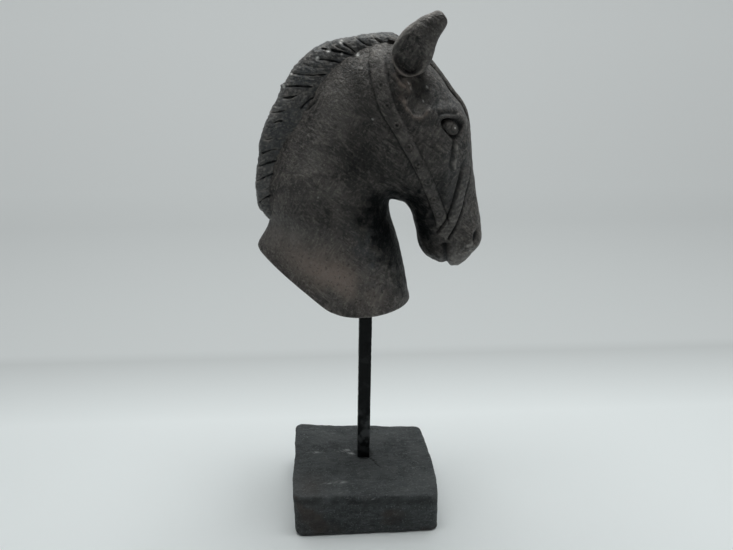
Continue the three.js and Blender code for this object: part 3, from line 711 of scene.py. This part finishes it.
def head_stains_and_shade(p, x, z, straps):
    """Masks of the tan, blue-grey, dark and pale places on the neck and face; the dark places are smoke
    stains with painted shade down the throat, under the jaw and in the temple hollows.
    """
    cloud = layered(p, 18, 30, 3)
    tan = 0.85 * spot(x, z, -14, 160, 22, 10, -30) * smooth(-0.5, 0.5, cloud)
    tan += 0.3 * spot(x, z, -38, 168, 22, 9, -35)
    tan += 0.4 * spot(x, z, 23, 261, 4, 7, -20) * smooth(-0.3, 0.5, noise(p, 2.4, 38))
    blue = 0.75 * spot(x, z, 4, 177, 8, 13, 20) * smooth(-0.7, 0.4, layered(p, 7, 33, 3))
    blue += 0.45 * spot(x, z, 10, 160, 7, 9, 20) * smooth(-0.4, 0.5, layered(p, 5, 34, 3))
    blue += 0.4 * spot(x, z, 52, 205, 9, 18) + 0.3 * spot(x, z, 44, 256, 12, 14)
    # Smoke stain with painted shade down the throat and under the jaw.
    throat_smoke_and_shade = np.maximum(band(NECK_FRONT, x, z, NECK_SMOKE_AND_SHADE_WIDTHS, NECK_SMOKE_AND_SHADE_STRENGTHS),
                       band(JAW_LINE, x, z, JAW_SMOKE_AND_SHADE_WIDTHS, JAW_SMOKE_AND_SHADE_STRENGTHS))
    fray = 0.35 * layered(p, 4, 36, 3)
    throat_smoke_and_shade = np.clip(throat_smoke_and_shade + 4 * fray * throat_smoke_and_shade * np.clip(1 - throat_smoke_and_shade, 0, 1), 0, 1)
    dark = spots(DARK_SPOTS, x, z)
    dark += 0.7 * spot(x, z, 58, 176, 8, 12) * smooth(0.15, 0.7, noise(p, 2.2, 43))
    dark = np.clip(np.maximum(dark * (0.75 + 0.6 * cloud), throat_smoke_and_shade * (1.0 + 0.2 * cloud)), 0, 0.97)
    dark = dark * (1 - 0.7 * straps)
    pale = spots(PALE_SPOTS, x, z) + 0.17 * band(PALE_BAND, x, z, [3.5, 3.5], [1, 1])
    pale = pale * (0.7 + 0.9 * cloud) + 0.2 * spot(x, z, 55, 167, 6, 6)
    pale += 0.6 * spot(x, z, 59, 177, 8, 12) * smooth(0.1, 0.7, noise(p, 1.5, 39))
    pale += 0.25 * spot(x, z, 39, 168, 3, 4) * smooth(-0.2, 0.5, noise(p, 2, 44))
    pale += 0.34 * spot(x, z, 31, 256, 6, 8) * smooth(-0.5, 0.5, noise(p, 3, 42))
    pale += 0.35 * spot(x, z, 10, 160, 8, 10) * smooth(0.1, 0.7, noise(p, 1.3, 41))
    return tan, np.clip(blue, 0, 1), dark, pale


def make_head():
    grid = head_grid()
    columns = len(grid)
    right = np.stack([grid[:, :, 0], -grid[:, :, 2], grid[:, :, 1]], -1)
    left = np.stack([grid[:, 1:-1, 0], grid[:, 1:-1, 2], grid[:, 1:-1, 1]], -1)[:, ::-1]
    rings = np.concatenate([right, left], 1)
    normals = grid_normals(rings)
    if (normals[columns // 2, ROWS // 2, 1]) > 0:
        normals = -normals
    count = rings.shape[1]
    p = rings.reshape(-1, 3)
    n = normals.reshape(-1, 3)
    x, y, z = p.T
    side = np.where(y > 0, 1.0, -1.0)
    h, groove, worn, tan, straps = head_relief(x, z, side, np.abs(n[:, 1]))
    h += 0.45 * layered(p, 22, 1, 3) + 0.2 * layered(p, 6, 4, 3)
    h += (0.4 * noise(p, 2.6, 6) + 0.2 * noise(p, 1.3, 7)) * spot(x, z, 58, 176, 12, 20)
    rim_fade = np.repeat(smooth(0, 3, np.arange(columns)), count)
    p = p + n * (h * rim_fade)[:, None]

    stain, blue, dark, pale = head_stains_and_shade(p, x, z, straps)
    tan = np.clip(tan + stain, 0, 1)
    worn = np.clip(worn + pale, 0, 1)
    fleck = np.zeros(len(p))
    for fx, fz, size in FLECKS:
        fleck = np.maximum(fleck, np.exp(-((np.hypot(x - fx, z - fz) / (0.85 * size)) ** 4)))
    fleck *= side < 0

    faces = ring_faces(columns, count)
    # the cut under the neck, ruled across from one rim to the other
    points = [p]
    across = 20
    rim_right = np.arange(0, ROWS + 1)
    rim_left = np.concatenate([[0], np.arange(count - 1, ROWS, -1), [ROWS]])
    total = len(p)
    rows = [rim_right]
    for k in range(1, across):
        share = k / across
        row = p[rim_right] * (1 - share) + p[rim_left] * share
        row[:, 2] += 0.35 * layered(row, 9, 60, 2) * math.sin(math.pi * share)
        points.append(row[1:-1])
        rows.append(np.concatenate([[0], np.arange(total, total + ROWS - 1), [ROWS]]))
        total += ROWS - 1
    rows.append(rim_left)
    for a, b in zip(rows[:-1], rows[1:]):
        for j in range(ROWS):
            face = [a[j], b[j], b[j + 1], a[j + 1]]
            face = [int(v) for i, v in enumerate(face) if v not in face[:i]]
            if len(face) > 2:
                faces.append(tuple(face))
    last = (columns - 1) * count
    points.append(p[last:last + count].mean(0, keepdims=True))
    faces += fan(total, list(range(last, last + count)), False)
    make_clay("horse_head_body", np.concatenate(points), faces,
              groove=groove, worn=worn, tan=tan, blue=blue, dark=dark, fleck=fleck)


# Mane


def make_mane():
    along, half = 620, 52
    u = np.linspace(0, len(MANE) - 1, along)
    row = curve_through(MANE, u)
    edge, root = row[:, :2], row[:, 2:]
    run = np.concatenate([[0], np.cumsum(np.linalg.norm(np.diff(edge, axis=0), axis=1))])
    length = run[-1]
    q = np.linspace(0, 1, half) ** 0.8
    ends = np.clip(np.minimum(run / 5, (length - run) / 3.5), 0, 1)
    ends = np.sqrt(1 - (1 - ends) ** 2)
    share = np.sqrt(np.clip(1 - q**6, 0, 1))
    uneven = 0.35 * noise(np.stack([run, 0 * run, 0 * run], -1), 9, 11)
    nub = 0.9 * np.exp(-(((edge[:, 1] - 261.8) / 1.1) ** 2)) * (edge[:, 0] < -38)
    reach = 0.55 + 0.45 * ends + (uneven + nub) / 22
    sides = []
    grooves = []
    for side in (-1, 1):
        x = root[:, :1] + (edge[:, :1] - root[:, :1]) * q[None, :] * reach[:, None]
        z = root[:, 1:] + (edge[:, 1:] - root[:, 1:]) * q[None, :] * reach[:, None]
        flat_x, flat_z = x.ravel(), z.ravel() + (0.0 if side < 0 else 1.5)
        cut = stroke_cuts(flat_x, flat_z).reshape(x.shape)
        place = np.stack([flat_x, np.full(x.size, side * 9.0), flat_z], -1)
        puff = 0.5 * noise(place, 7, 12).reshape(x.shape)
        y = (MANE_HALF_THICKNESS + puff) * share[None, :] * ends[:, None] - cut * share[None, :] ** 0.5
        y = np.maximum(y, 0)
        y[:, -1] = 0
        sides.append(np.stack([x, side * y, z], -1))
        grooves.append(np.clip(cut / 0.8, 0, 1))
    rings = np.concatenate([sides[0], sides[1][:, :-1][:, ::-1]], 1)
    groove = np.concatenate([grooves[0], grooves[1][:, :-1][:, ::-1]], 1).ravel()
    count = rings.shape[1]
    normals = grid_normals(rings)
    if normals[along // 2, half // 2, 1] > 0:
        normals = -normals
    p = rings.reshape(-1, 3)
    n = normals.reshape(-1, 3)
    hair = noise(p * np.array([0.45, 0.6, 1.1]), 1.1, 16)
    h = 0.35 * layered(p, 5, 14, 3) + 0.28 * hair
    p = p + n * h[:, None]
    x, _, z = p.T
    fleck = np.zeros(len(p))
    for fx, fz, size in FLECKS[:MANE_FLECKS]:
        away = np.hypot(x - fx, z - fz + 0.3 * hair)
        fleck = np.maximum(fleck, np.exp(-((away / (1.15 * size)) ** 4)))
    fleck *= p[:, 1] < 0
    lips = np.clip(groove * (1 - groove) * 4, 0, 1) * smooth(-0.3, 0.5, noise(p, 2.5, 17))
    streaks = 0.55 * smooth(0.15, 0.75, noise(p * np.array([0.7, 1, 1]), 0.8, 18))
    streaks += 0.14 * smooth(-0.5, 0.5, layered(p, 6, 19, 3))
    worn = np.clip(0.75 * lips + streaks * (1 - groove), 0, 1)
    # Painted shade along the stroke cuts.
    groove = smooth(0.3, 1.0, groove) * (0.62 + 0.38 * noise(p, 1.6, 22))
    blue = 0.6 + 0.25 * noise(p, 6, 20)
    make_clay("mane", *capped(p, count), groove=groove, worn=worn, blue=blue, fleck=fleck)


# Ears


def make_ear(name, side):
    along, count = 120, 96
    u = np.linspace(0, len(EAR) - 1, along)
    row = curve_through(EAR, u)
    ahead = curve_through(EAR, np.minimum(u + 0.1, len(EAR) - 1))
    behind = curve_through(EAR, np.maximum(u - 0.1, 0))
    across = np.stack([ahead[:, 1] - behind[:, 1], -(ahead[:, 0] - behind[:, 0])], -1)
    across /= np.linalg.norm(across, axis=1)[:, None]
    close = np.sqrt(np.clip(1 - np.clip((0.35 - u) / 0.35, 0, 1) ** 2, 0, 1))
    close *= np.sqrt(np.clip(1 - np.clip((u - (len(EAR) - 1.6)) / 0.6, 0, 1) ** 2, 0, 1))
    close = np.maximum(close, 0.03)
    turn = np.linspace(0, 2 * np.pi, count, endpoint=False)
    c, s = np.cos(turn)[None, :], np.sin(turn)[None, :]
    wide, thick = (row[:, 2] * close)[:, None], (row[:, 4] * close)[:, None]
    x = row[:, :1] + across[:, :1] * wide * c
    z = row[:, 1:2] + across[:, 1:] * wide * c
    y = row[:, 3:4] + thick * np.sign(s) * np.abs(s) ** 0.85
    d, _, _ = beside(EAR_HOLLOW, x.ravel(), z.ravel(), closed=True)
    d = d.reshape(x.shape)
    nearest = np.argmin(np.hypot(x - EAR_HOLLOW_MIDDLE[0], z - EAR_HOLLOW_MIDDLE[1]).ravel())
    within = d * np.where(d.ravel()[nearest] < 0, -1.0, 1.0)
    low = smooth(289, 272, z)
    outer = smooth(0.0, 0.3, s * np.ones_like(x))
    crisp = low * smooth(33, 27, x)
    cup = smooth(0.0, 6.0 - 4.2 * crisp, within) * outer
    y = y - cup * (1.2 + 2.1 * low)
    rim = np.exp(-(((within + 0.2) / 0.42) ** 2)) * outer * smooth(284, 278, z) * smooth(34, 29, x)
    around = np.exp(-((within / 0.5) ** 2)) * outer
    y = y + 0.3 * rim + 0.2 * around
    rings = np.stack([x, y, z], -1)
    p = rings.reshape(-1, 3)
    n = grid_normals(rings).reshape(-1, 3)
    out = p - np.repeat(rings.mean(1), count, 0)
    if (n * out).sum() < 0:
        n = -n
    p = p + n * (0.3 * layered(p + side * 50, 6, 21, 3))[:, None]
    # Painted shade: a dark ring just inside the hollow.
    groove = (0.5 * np.exp(-(((within - 1.2) / 0.7) ** 2)) * outer * crisp).ravel()
    tan = (rim * (0.4 + 0.4 * low)).ravel()
    # Painted shade down in the lower hollow and on the front of the ear near its tip.
    dark = (0.1 * cup * low + 0.3 * smooth(290, 299, z) * smooth(0.3, 0.9, c * np.ones_like(z))).ravel()
    # Painted highlight along the ear's back edge.
    back = smooth(-0.55, -0.95, c * np.ones_like(z)) * smooth(272, 280, z)
    smear = 0.55 * spot(x, z, 36.5, 292.5, 2.6, 6.5, -48) * outer
    dark = np.clip(dark + smear.ravel(), 0, 1)
    # Painted glints in specks over the ear.
    glints = smooth(0.45, 0.8, noise(p, 1.4, 24))
    patches = smooth(-0.5, 0.5, noise(p, 3.5, 26))
    beyond = smooth(0.5, -1.0, within) * outer
    worn = (0.25 * rim + 0.36 * back).ravel() + 0.42 * glints
    worn = np.clip(worn + (0.3 * around + 0.2 * beyond).ravel() * patches, 0, 1)
    points, faces = capped(p, count)
    points[:, 1] *= side
    make_clay(name, points, faces, groove=groove, worn=worn, tan=tan, dark=dark)


# Forelock


def make_forelock():
    along, count = 160, 60
    u = np.linspace(0, len(FORELOCK) - 1, along)
    line = curve_through(FORELOCK, u)
    step = np.gradient(line, axis=0)
    step /= np.linalg.norm(step, axis=1)[:, None]
    share = np.linspace(0, 1, along)
    wide = (9 - 6.5 * share) * np.sqrt(np.clip(1 - np.clip((share - 0.9) / 0.1, 0, 1) ** 2, 0, 1))
    wide = np.maximum(wide, 0.3)
    tall = (2.0 - 0.9 * share) * np.sqrt(np.clip(1 - np.clip((share - 0.8) / 0.2, 0, 0.97) ** 2, 0, 1))
    turn = np.linspace(0, 2 * np.pi, count, endpoint=False)
    c, s = np.cos(turn)[None, :], np.sin(turn)[None, :]
    lift = tall[:, None] * c
    strand = np.sin(2.6 * np.pi * s + 3 * share[:, None])
    lift = lift + 0.3 * strand * (c > 0)
    x = line[:, :1] - step[:, 1:] * lift
    z = line[:, 1:] + step[:, :1] * lift
    y = wide[:, None] * s
    p = np.stack([x, y, z], -1).reshape(-1, 3)
    p = p + 0.15 * layered(p, 5, 25, 2)[:, None] * np.array([0.7, 0, 0.7])
    # Painted shade between the strands on top.
    groove = (0.5 * smooth(-0.3, -0.95, strand) * (c > 0)).ravel()
    even = np.ones(len(p))
    make_clay("forelock", *capped(p, count), groove=groove, worn=0.08 * even, dark=0.2 * even)


# Eyes


def skin(x, z):
    """Half width of the head at (x, z), by the rib that passes through it."""
    low, high = np.full(len(x), 2.0), np.full(len(x), len(RIBS) - 1.0)
    for _ in range(40):
        u = (low + high) / 2
        rib = curve_through(RIBS, u)
        side = (rib[:, 2] - rib[:, 0]) * (z - rib[:, 1]) - (rib[:, 3] - rib[:, 1]) * (x - rib[:, 0])
        ahead = side > 0
        low, high = np.where(ahead, u, low), np.where(ahead, high, u)
    rib = curve_through(RIBS, low)
    run = rib[:, 2:4] - rib[:, :2]
    t = ((x - rib[:, 0]) * run[:, 0] + (z - rib[:, 1]) * run[:, 1]) / (run**2).sum(1)
    return on_rib(low, np.clip(t, 0, 1))[2]


def skin_frame(x, z, step):
    """The place on the +y skin at (x, z), with the directions out, ahead and up there."""
    deep = skin(x + np.array([0, step, -step, 0, 0]), z + np.array([0, 0, 0, step, -step]))
    out = np.array([(deep[2] - deep[1]) / (2 * step), 1.0, (deep[4] - deep[3]) / (2 * step)])
    out /= np.linalg.norm(out)
    ahead = np.array([out[1], -out[0], 0.0])
    ahead /= np.linalg.norm(ahead)
    return np.array([x, deep[0], z]), out, ahead, np.cross(ahead, out)


def make_eye(name, side):
    along, count = 40, 64
    place, out, ahead, up = skin_frame(*EYE, 2.5)
    centre = place - 2.7 * out
    tilt = np.linspace(0, np.pi, along)[1:-1]
    turn = np.linspace(0, 2 * np.pi, count, endpoint=False)
    r = np.sin(tilt)[:, None]
    long, short = 5.4 * r * np.cos(turn)[None, :], 3.7 * r * np.sin(turn)[None, :]
    slant = math.radians(-33)
    a = long * math.cos(slant) - short * math.sin(slant)
    b = long * math.sin(slant) + short * math.cos(slant)
    c = 3.3 * np.cos(tilt)[:, None] * np.ones((1, count))
    middle = np.hypot(a - 1.6, b + 0.4)
    front = c > 0
    c = c - 0.25 * np.exp(-(((middle - 2.3) / 0.4) ** 2)) * front
    p = centre + a[..., None] * ahead + b[..., None] * up + c[..., None] * out
    p = p.reshape(-1, 3)
    p[:, 1] *= side
    middle = middle.ravel()
    front = front.ravel() * 1.0
    # A ring of painted shade round the pupil, and a white painted highlight near the middle of the near eye.
    groove = 0.55 * np.exp(-(((middle - 2.3) / 0.45) ** 2)) * front
    fleck = np.exp(-((middle / 0.5) ** 4)) * front * (side < 0)
    even = np.ones(len(p))
    make_clay(name, *capped(p, count), groove=groove, worn=0.12 * even, dark=0.2 * even, fleck=fleck)


# Studs stamped along the cheek strap


def make_studs():
    around, tube = 28, 10
    turn = np.linspace(0, 2 * np.pi, around, endpoint=False)
    roll = np.linspace(0, 2 * np.pi, tube, endpoint=False)
    points, faces, total = [], [], 0
    for side in (-1, 1):
        for sx, sz in STUDS:
            place, out, ahead, up = skin_frame(sx, sz, 1.5)
            middle = place + 0.85 * STRAP_RAISE * out
            r = 1.3 + 0.42 * np.cos(roll)[None, :]
            a = r * np.cos(turn)[:, None]
            b = r * np.sin(turn)[:, None]
            c = 0.42 * np.sin(roll)[None, :] * np.ones((around, 1))
            p = (middle + a[..., None] * ahead + b[..., None] * up + c[..., None] * out).reshape(-1, 3)
            p[:, 1] *= side
            ring = []
            for i in range(around):
                for j in range(tube):
                    here, after = total + i * tube, total + (i + 1) % around * tube
                    k = (j + 1) % tube
                    ring.append((here + j, after + j, after + k, here + k))
            faces += ring if side > 0 else [f[::-1] for f in ring]
            points.append(p)
            total += len(p)
    points = np.concatenate(points)
    worn = 0.3 * smooth(-0.2, 0.6, noise(points, 1.2, 27))
    make_clay("strap_studs", points, faces, worn=worn, dark=np.full(total, 0.1))


# Block


def block_height(x):
    share = (x + BLOCK_HALF_LENGTH) / (2 * BLOCK_HALF_LENGTH)
    return BLOCK_LEFT_HEIGHT + share * (BLOCK_RIGHT_HEIGHT - BLOCK_LEFT_HEIGHT)


def block_rings():
    """Rings of points up the sides, round the top edge and in to the middle of the top."""
    per_corner, per_side = 22, 46
    levels = []
    for k in range(8):
        a = k / 8 * math.pi / 2
        levels.append((0.05 * (1 - math.cos(a)), BLOCK_FOOT_ROUND * (1 - math.sin(a)), 0))
    levels += [(0.05 + 0.895 * k / 40, 0.0, 0) for k in range(40)]
    for k in range(13):
        a = k / 12 * math.pi / 2
        levels.append((0.945 + 0.055 * math.sin(a), BLOCK_TOP_ROUND * (1 - math.cos(a)), 0))
    levels += [(1.0, BLOCK_TOP_ROUND, k / 34) for k in range(1, 34)]
    rings = []
    for level, inset, towards in levels:
        corners = []
        for corner, (cx, cy) in enumerate(BLOCK_PLAN):
            a = math.pi / 2 * (corner + np.linspace(0, 1, per_corner))
            r = BLOCK_CORNER - inset
            corners.append(np.stack([cx - np.sign(cx) * BLOCK_CORNER + r * np.cos(a),
                                     cy - np.sign(cy) * BLOCK_CORNER + r * np.sin(a)], -1))
        plan = []
        for corner, arc in enumerate(corners):
            after = corners[(corner + 1) % 4][0]
            run = np.linspace(0, 1, per_side + 2)[1:-1, None]
            plan += [arc, arc[-1:] * (1 - run) + after * run]
        plan = np.concatenate(plan)
        x, y = plan[:, 0].copy(), plan[:, 1].copy()
        out = x / BLOCK_HALF_LENGTH
        bulge = BLOCK_BULGE * np.maximum(0, out) * (1 - (y / BLOCK_HALF_WIDTH) ** 2)
        taper = BLOCK_BULGE * np.maximum(0, -out) * (1 - level)
        z = level * block_height(x)
        x = x + bulge + taper
        if towards:
            x = x * (1 - towards)
            y = y * (1 - towards)
            z = block_height(x)
        rings.append(np.stack([x, y, z], -1))
    return np.array(rings)


def make_block():
    rings = block_rings()
    count = rings.shape[1]
    n = grid_normals(rings)
    if n[20, 0, 0] < 0:
        n = -n
    n = n.reshape(-1, 3)
    p = rings.reshape(-1, 3)
    x, y, z = p.T
    top = smooth(0.6, 0.95, n[:, 2])
    high = smooth(0.0, 2.5, z)
    h = 0.55 * layered(p, 20, 40, 3) + 0.16 * layered(p, 4, 43, 2)
    edge_wear = np.exp(-(((z - block_height(x) + 1.2) / 1.6) ** 2)) * (1 - top * 0.5)
    h -= 0.7 * edge_wear * smooth(0.0, 0.8, layered(p, 7, 45, 2))
    near = np.hypot(x - BAR_X - 0.4, y - BAR_Y)
    h -= top * 0.8 * np.exp(-((near / 6.5) ** 4))
    crack, share, _ = beside(BLOCK_CRACK, x, y)
    crack_mask = top * np.exp(-((crack / 0.45) ** 2)) * smooth(1.0, 0.7, share)
    h -= 0.5 * crack_mask
    h *= high
    p = p + n * h[:, None]
    p[:, 2] = np.maximum(p[:, 2], 0)
    fleck = np.zeros(len(p))
    for fx, fy, rx, ry, strength in BLOCK_SCUFFS:
        shape = np.exp(-(((x - fx) / rx) ** 2) - (((y - fy) / ry) ** 2))
        fleck += top * strength * shape * smooth(-0.2, 0.35, noise(p, 0.9, 47) + 0.25)
    fleck += smooth(0.72, 0.85, noise(p, 1.3, 49)) * 0.35 * edge_wear
    rust = 0.5 * smooth(0.25, 0.8, layered(p, 14, 51, 3)) * (1 - top)
    rust += 0.35 * np.exp(-(((x + 33) / 9) ** 2) - ((y + 30) / 12) ** 2)
    worn = 0.4 * edge_wear * smooth(-0.2, 0.7, noise(p, 3, 53))
    worn += 0.28 * top * smooth(-0.4, 0.5, layered(p, 12, 55, 3))
    worn += 0.4 * top * np.exp(-(((near - 7) / 1.8) ** 2)) * smooth(-0.2, 0.5, noise(p, 2, 57))
    shade = top * np.exp(-(((near - 5.6) / 0.9) ** 2)) * smooth(-0.5, 0.3, x - 2 - (y - 6))
    below_edge = np.exp(-(((block_height(x) - z - 4.0) / 1.9) ** 2)) * (1 - top)
    blotch = smooth(0.1, 0.7, layered(p, 9, 59, 3)) * (1 - top)
    groove = np.clip(crack_mask + 0.7 * shade, 0, 1) + 0.35 * blotch
    groove += 0.5 * below_edge * smooth(-0.5, 0.3, noise(p, 6, 58))
    masks = {"fleck": np.clip(fleck, 0, 1), "rust": np.clip(rust, 0, 0.6),
             "worn": np.clip(worn, 0, 1), "groove": np.clip(groove, 0, 1)}
    points, faces = capped(p, count)
    make_piece("stand_block", points, faces, SLATE, "base_block", masks)


# Bar


def make_bar():
    along, per_side = 300, 14
    zs = np.linspace(BAR_FROM, BAR_TO, along)
    half = BAR_SIDE / 2
    turn = np.linspace(0, 2 * np.pi, per_side * 4, endpoint=False)
    c, s = np.cos(turn), np.sin(turn)
    r = 1 / (np.abs(c) ** 14 + np.abs(s) ** 14) ** (1 / 14)
    ring = np.stack([half * r * c, half * r * s], -1)
    p = np.concatenate([np.concatenate([ring, np.full((len(ring), 1), z)], 1) for z in zs])
    out = np.concatenate([p[:, :2], np.zeros((len(p), 1))], 1)
    out /= np.linalg.norm(out, axis=1)[:, None]
    p = p - out * (0.16 * np.abs(layered(p, 5, 70, 3)) + 0.05)[:, None]
    worn = np.exp(-(((p[:, 2] - 44) / 13) ** 2)) * smooth(-0.5, 0.6, layered(p, 4, 72, 3))
    worn += 0.12 * smooth(0.45, 0.9, layered(p, 6, 74, 3))
    points, faces = capped(p, len(ring))
    c, s = math.cos(BAR_LEAN), math.sin(BAR_LEAN)
    leaning = np.stack([c * points[:, 0] + s * points[:, 2] + BAR_X, points[:, 1] + BAR_Y,
                        -s * points[:, 0] + c * points[:, 2]], -1)
    make_piece("stand_bar", leaning, faces, IRON, "iron_bar", {"worn": np.clip(worn, 0, 1)})


make_head()
make_mane()
make_ear("ear_left", 1)
make_ear("ear_right", -1)
make_forelock()
make_eye("eye_left", 1)
make_eye("eye_right", -1)
make_studs()
make_block()
make_bar()


# Floor that sweeps up into a pale backdrop


def stage_material():
    material, tree = tree_of("pale_backdrop")
    shader = tree.nodes["Principled BSDF"]
    coords = add(tree, "ShaderNodeTexCoord").outputs["Object"]
    soft = span(tree, grain(tree, coords, 3, 2, 0.5), 0.3, 0.7)
    away = add(tree, "ShaderNodeSeparateXYZ", {"Vector": coords}).outputs["Y"]
    colour = blend(tree, soft, (0.86, 0.89, 0.89), (0.885, 0.915, 0.915))
    # From 0.10 m back the floor is painted dark grey: painted shade for the less lit back.
    colour = blend(tree, span(tree, away, 0.10, 0.21), colour, (0.30, 0.313, 0.313))
    tree.links.new(colour, shader.inputs["Base Color"])
    # From 0.10 m back, and a little more far off, the floor and backdrop glow: painted light, though they are
    # no lamp.
    shader.inputs["Emission Color"].default_value = (0.94, 0.985, 0.985, 1.0)
    near_glow = span(tree, away, 0.10, 0.23, 0.0, 0.31)
    far_glow = span(tree, away, 0.7, 1.25, 0.0, 0.1)
    tree.links.new(math_node(tree, "ADD", near_glow, far_glow), shader.inputs["Emission Strength"])
    shader.inputs["Roughness"].default_value = 0.85
    shader.inputs["Specular IOR Level"].default_value = 0.2
    return material


# Floor sizes in metres; it lies a hair below the block
FLOOR_FROM = -0.36
FLOOR_TO = 0.95
FLOOR_HALF_WIDTH = 1.8
FLOOR_GAP = 0.00005


def make_stage():
    cove = 0.3
    profile = [(y, 0.0) for y in np.linspace(FLOOR_FROM, FLOOR_TO, 28)]
    for a in np.linspace(0.08, math.pi / 2, 20):
        profile.append((FLOOR_TO + cove * math.sin(a), cove * (1 - math.cos(a))))
    profile += [(FLOOR_TO + cove, cove + 0.1 * k) for k in range(1, 13)]
    points = []
    for x in np.linspace(-FLOOR_HALF_WIDTH, FLOOR_HALF_WIDTH, 9):
        points += [(x, y, z - FLOOR_GAP) for y, z in profile]
    count = len(profile)
    faces = []
    for i in range(8):
        for j in range(count - 1):
            a = i * count + j
            faces.append((a, a + count, a + count + 1, a + 1))
    mesh = bpy.data.meshes.new("backdrop")
    mesh.from_pydata(points, [], faces)
    mesh.polygons.foreach_set("use_smooth", [True] * len(mesh.polygons))
    mesh.materials.append(stage_material())
    obj = bpy.data.objects.new("backdrop", mesh)
    bpy.context.scene.collection.objects.link(obj)


def area_light(name, place, target, size, energy, colour):
    lamp = bpy.data.lights.new(name, "AREA")
    lamp.shape = "RECTANGLE"
    lamp.size, lamp.size_y = size
    lamp.energy = energy
    lamp.color = colour
    obj = bpy.data.objects.new(name, lamp)
    obj.location = place
    aim = np.array(target) - np.array(place)
    aim = aim / np.linalg.norm(aim)
    yaw = math.atan2(aim[0], aim[1])
    pitch = math.acos(max(-1, min(1, -aim[2])))
    obj.rotation_euler = (pitch, 0, -yaw)
    obj.visible_camera = False
    bpy.context.scene.collection.objects.link(obj)


make_stage()
world = bpy.data.worlds.new("tent") if not bpy.context.scene.world else bpy.context.scene.world
bpy.context.scene.world = world
world.use_nodes = True
backdrop = world.node_tree.nodes["Background"]
backdrop.inputs["Color"].default_value = (0.92, 0.97, 1.0, 1.0)
backdrop.inputs["Strength"].default_value = 0.06
PANEL_COLOUR = (0.97, 1.0, 1.0)
area_light("top_panel", (0.0, 0.1, 1.0), (0, 0.06, 0.0), (0.9, 0.6), 8.0, PANEL_COLOUR)
area_light("right_panel", (0.75, -0.15, 0.5), (0, 0, 0.2), (0.5, 0.5), 0.7, PANEL_COLOUR)

SENSOR_WIDTH = 36.0
PICTURE_WIDTH = 733
FOCAL_PIXELS = 700
camera_data = bpy.data.cameras.new("camera")
camera_data.sensor_fit = "HORIZONTAL"
camera_data.sensor_width = SENSOR_WIDTH
camera_data.lens = SENSOR_WIDTH * FOCAL_PIXELS / PICTURE_WIDTH
camera_data.clip_start = 0.01
camera = bpy.data.objects.new("camera", camera_data)
camera.location = (-0.0205, -0.3925, 0.2888)
camera.rotation_euler = (math.radians(71), 0, math.radians(-3.5))
bpy.context.scene.collection.objects.link(camera)
bpy.context.scene.camera = camera
bpy.context.scene.view_settings.view_transform = "Standard"
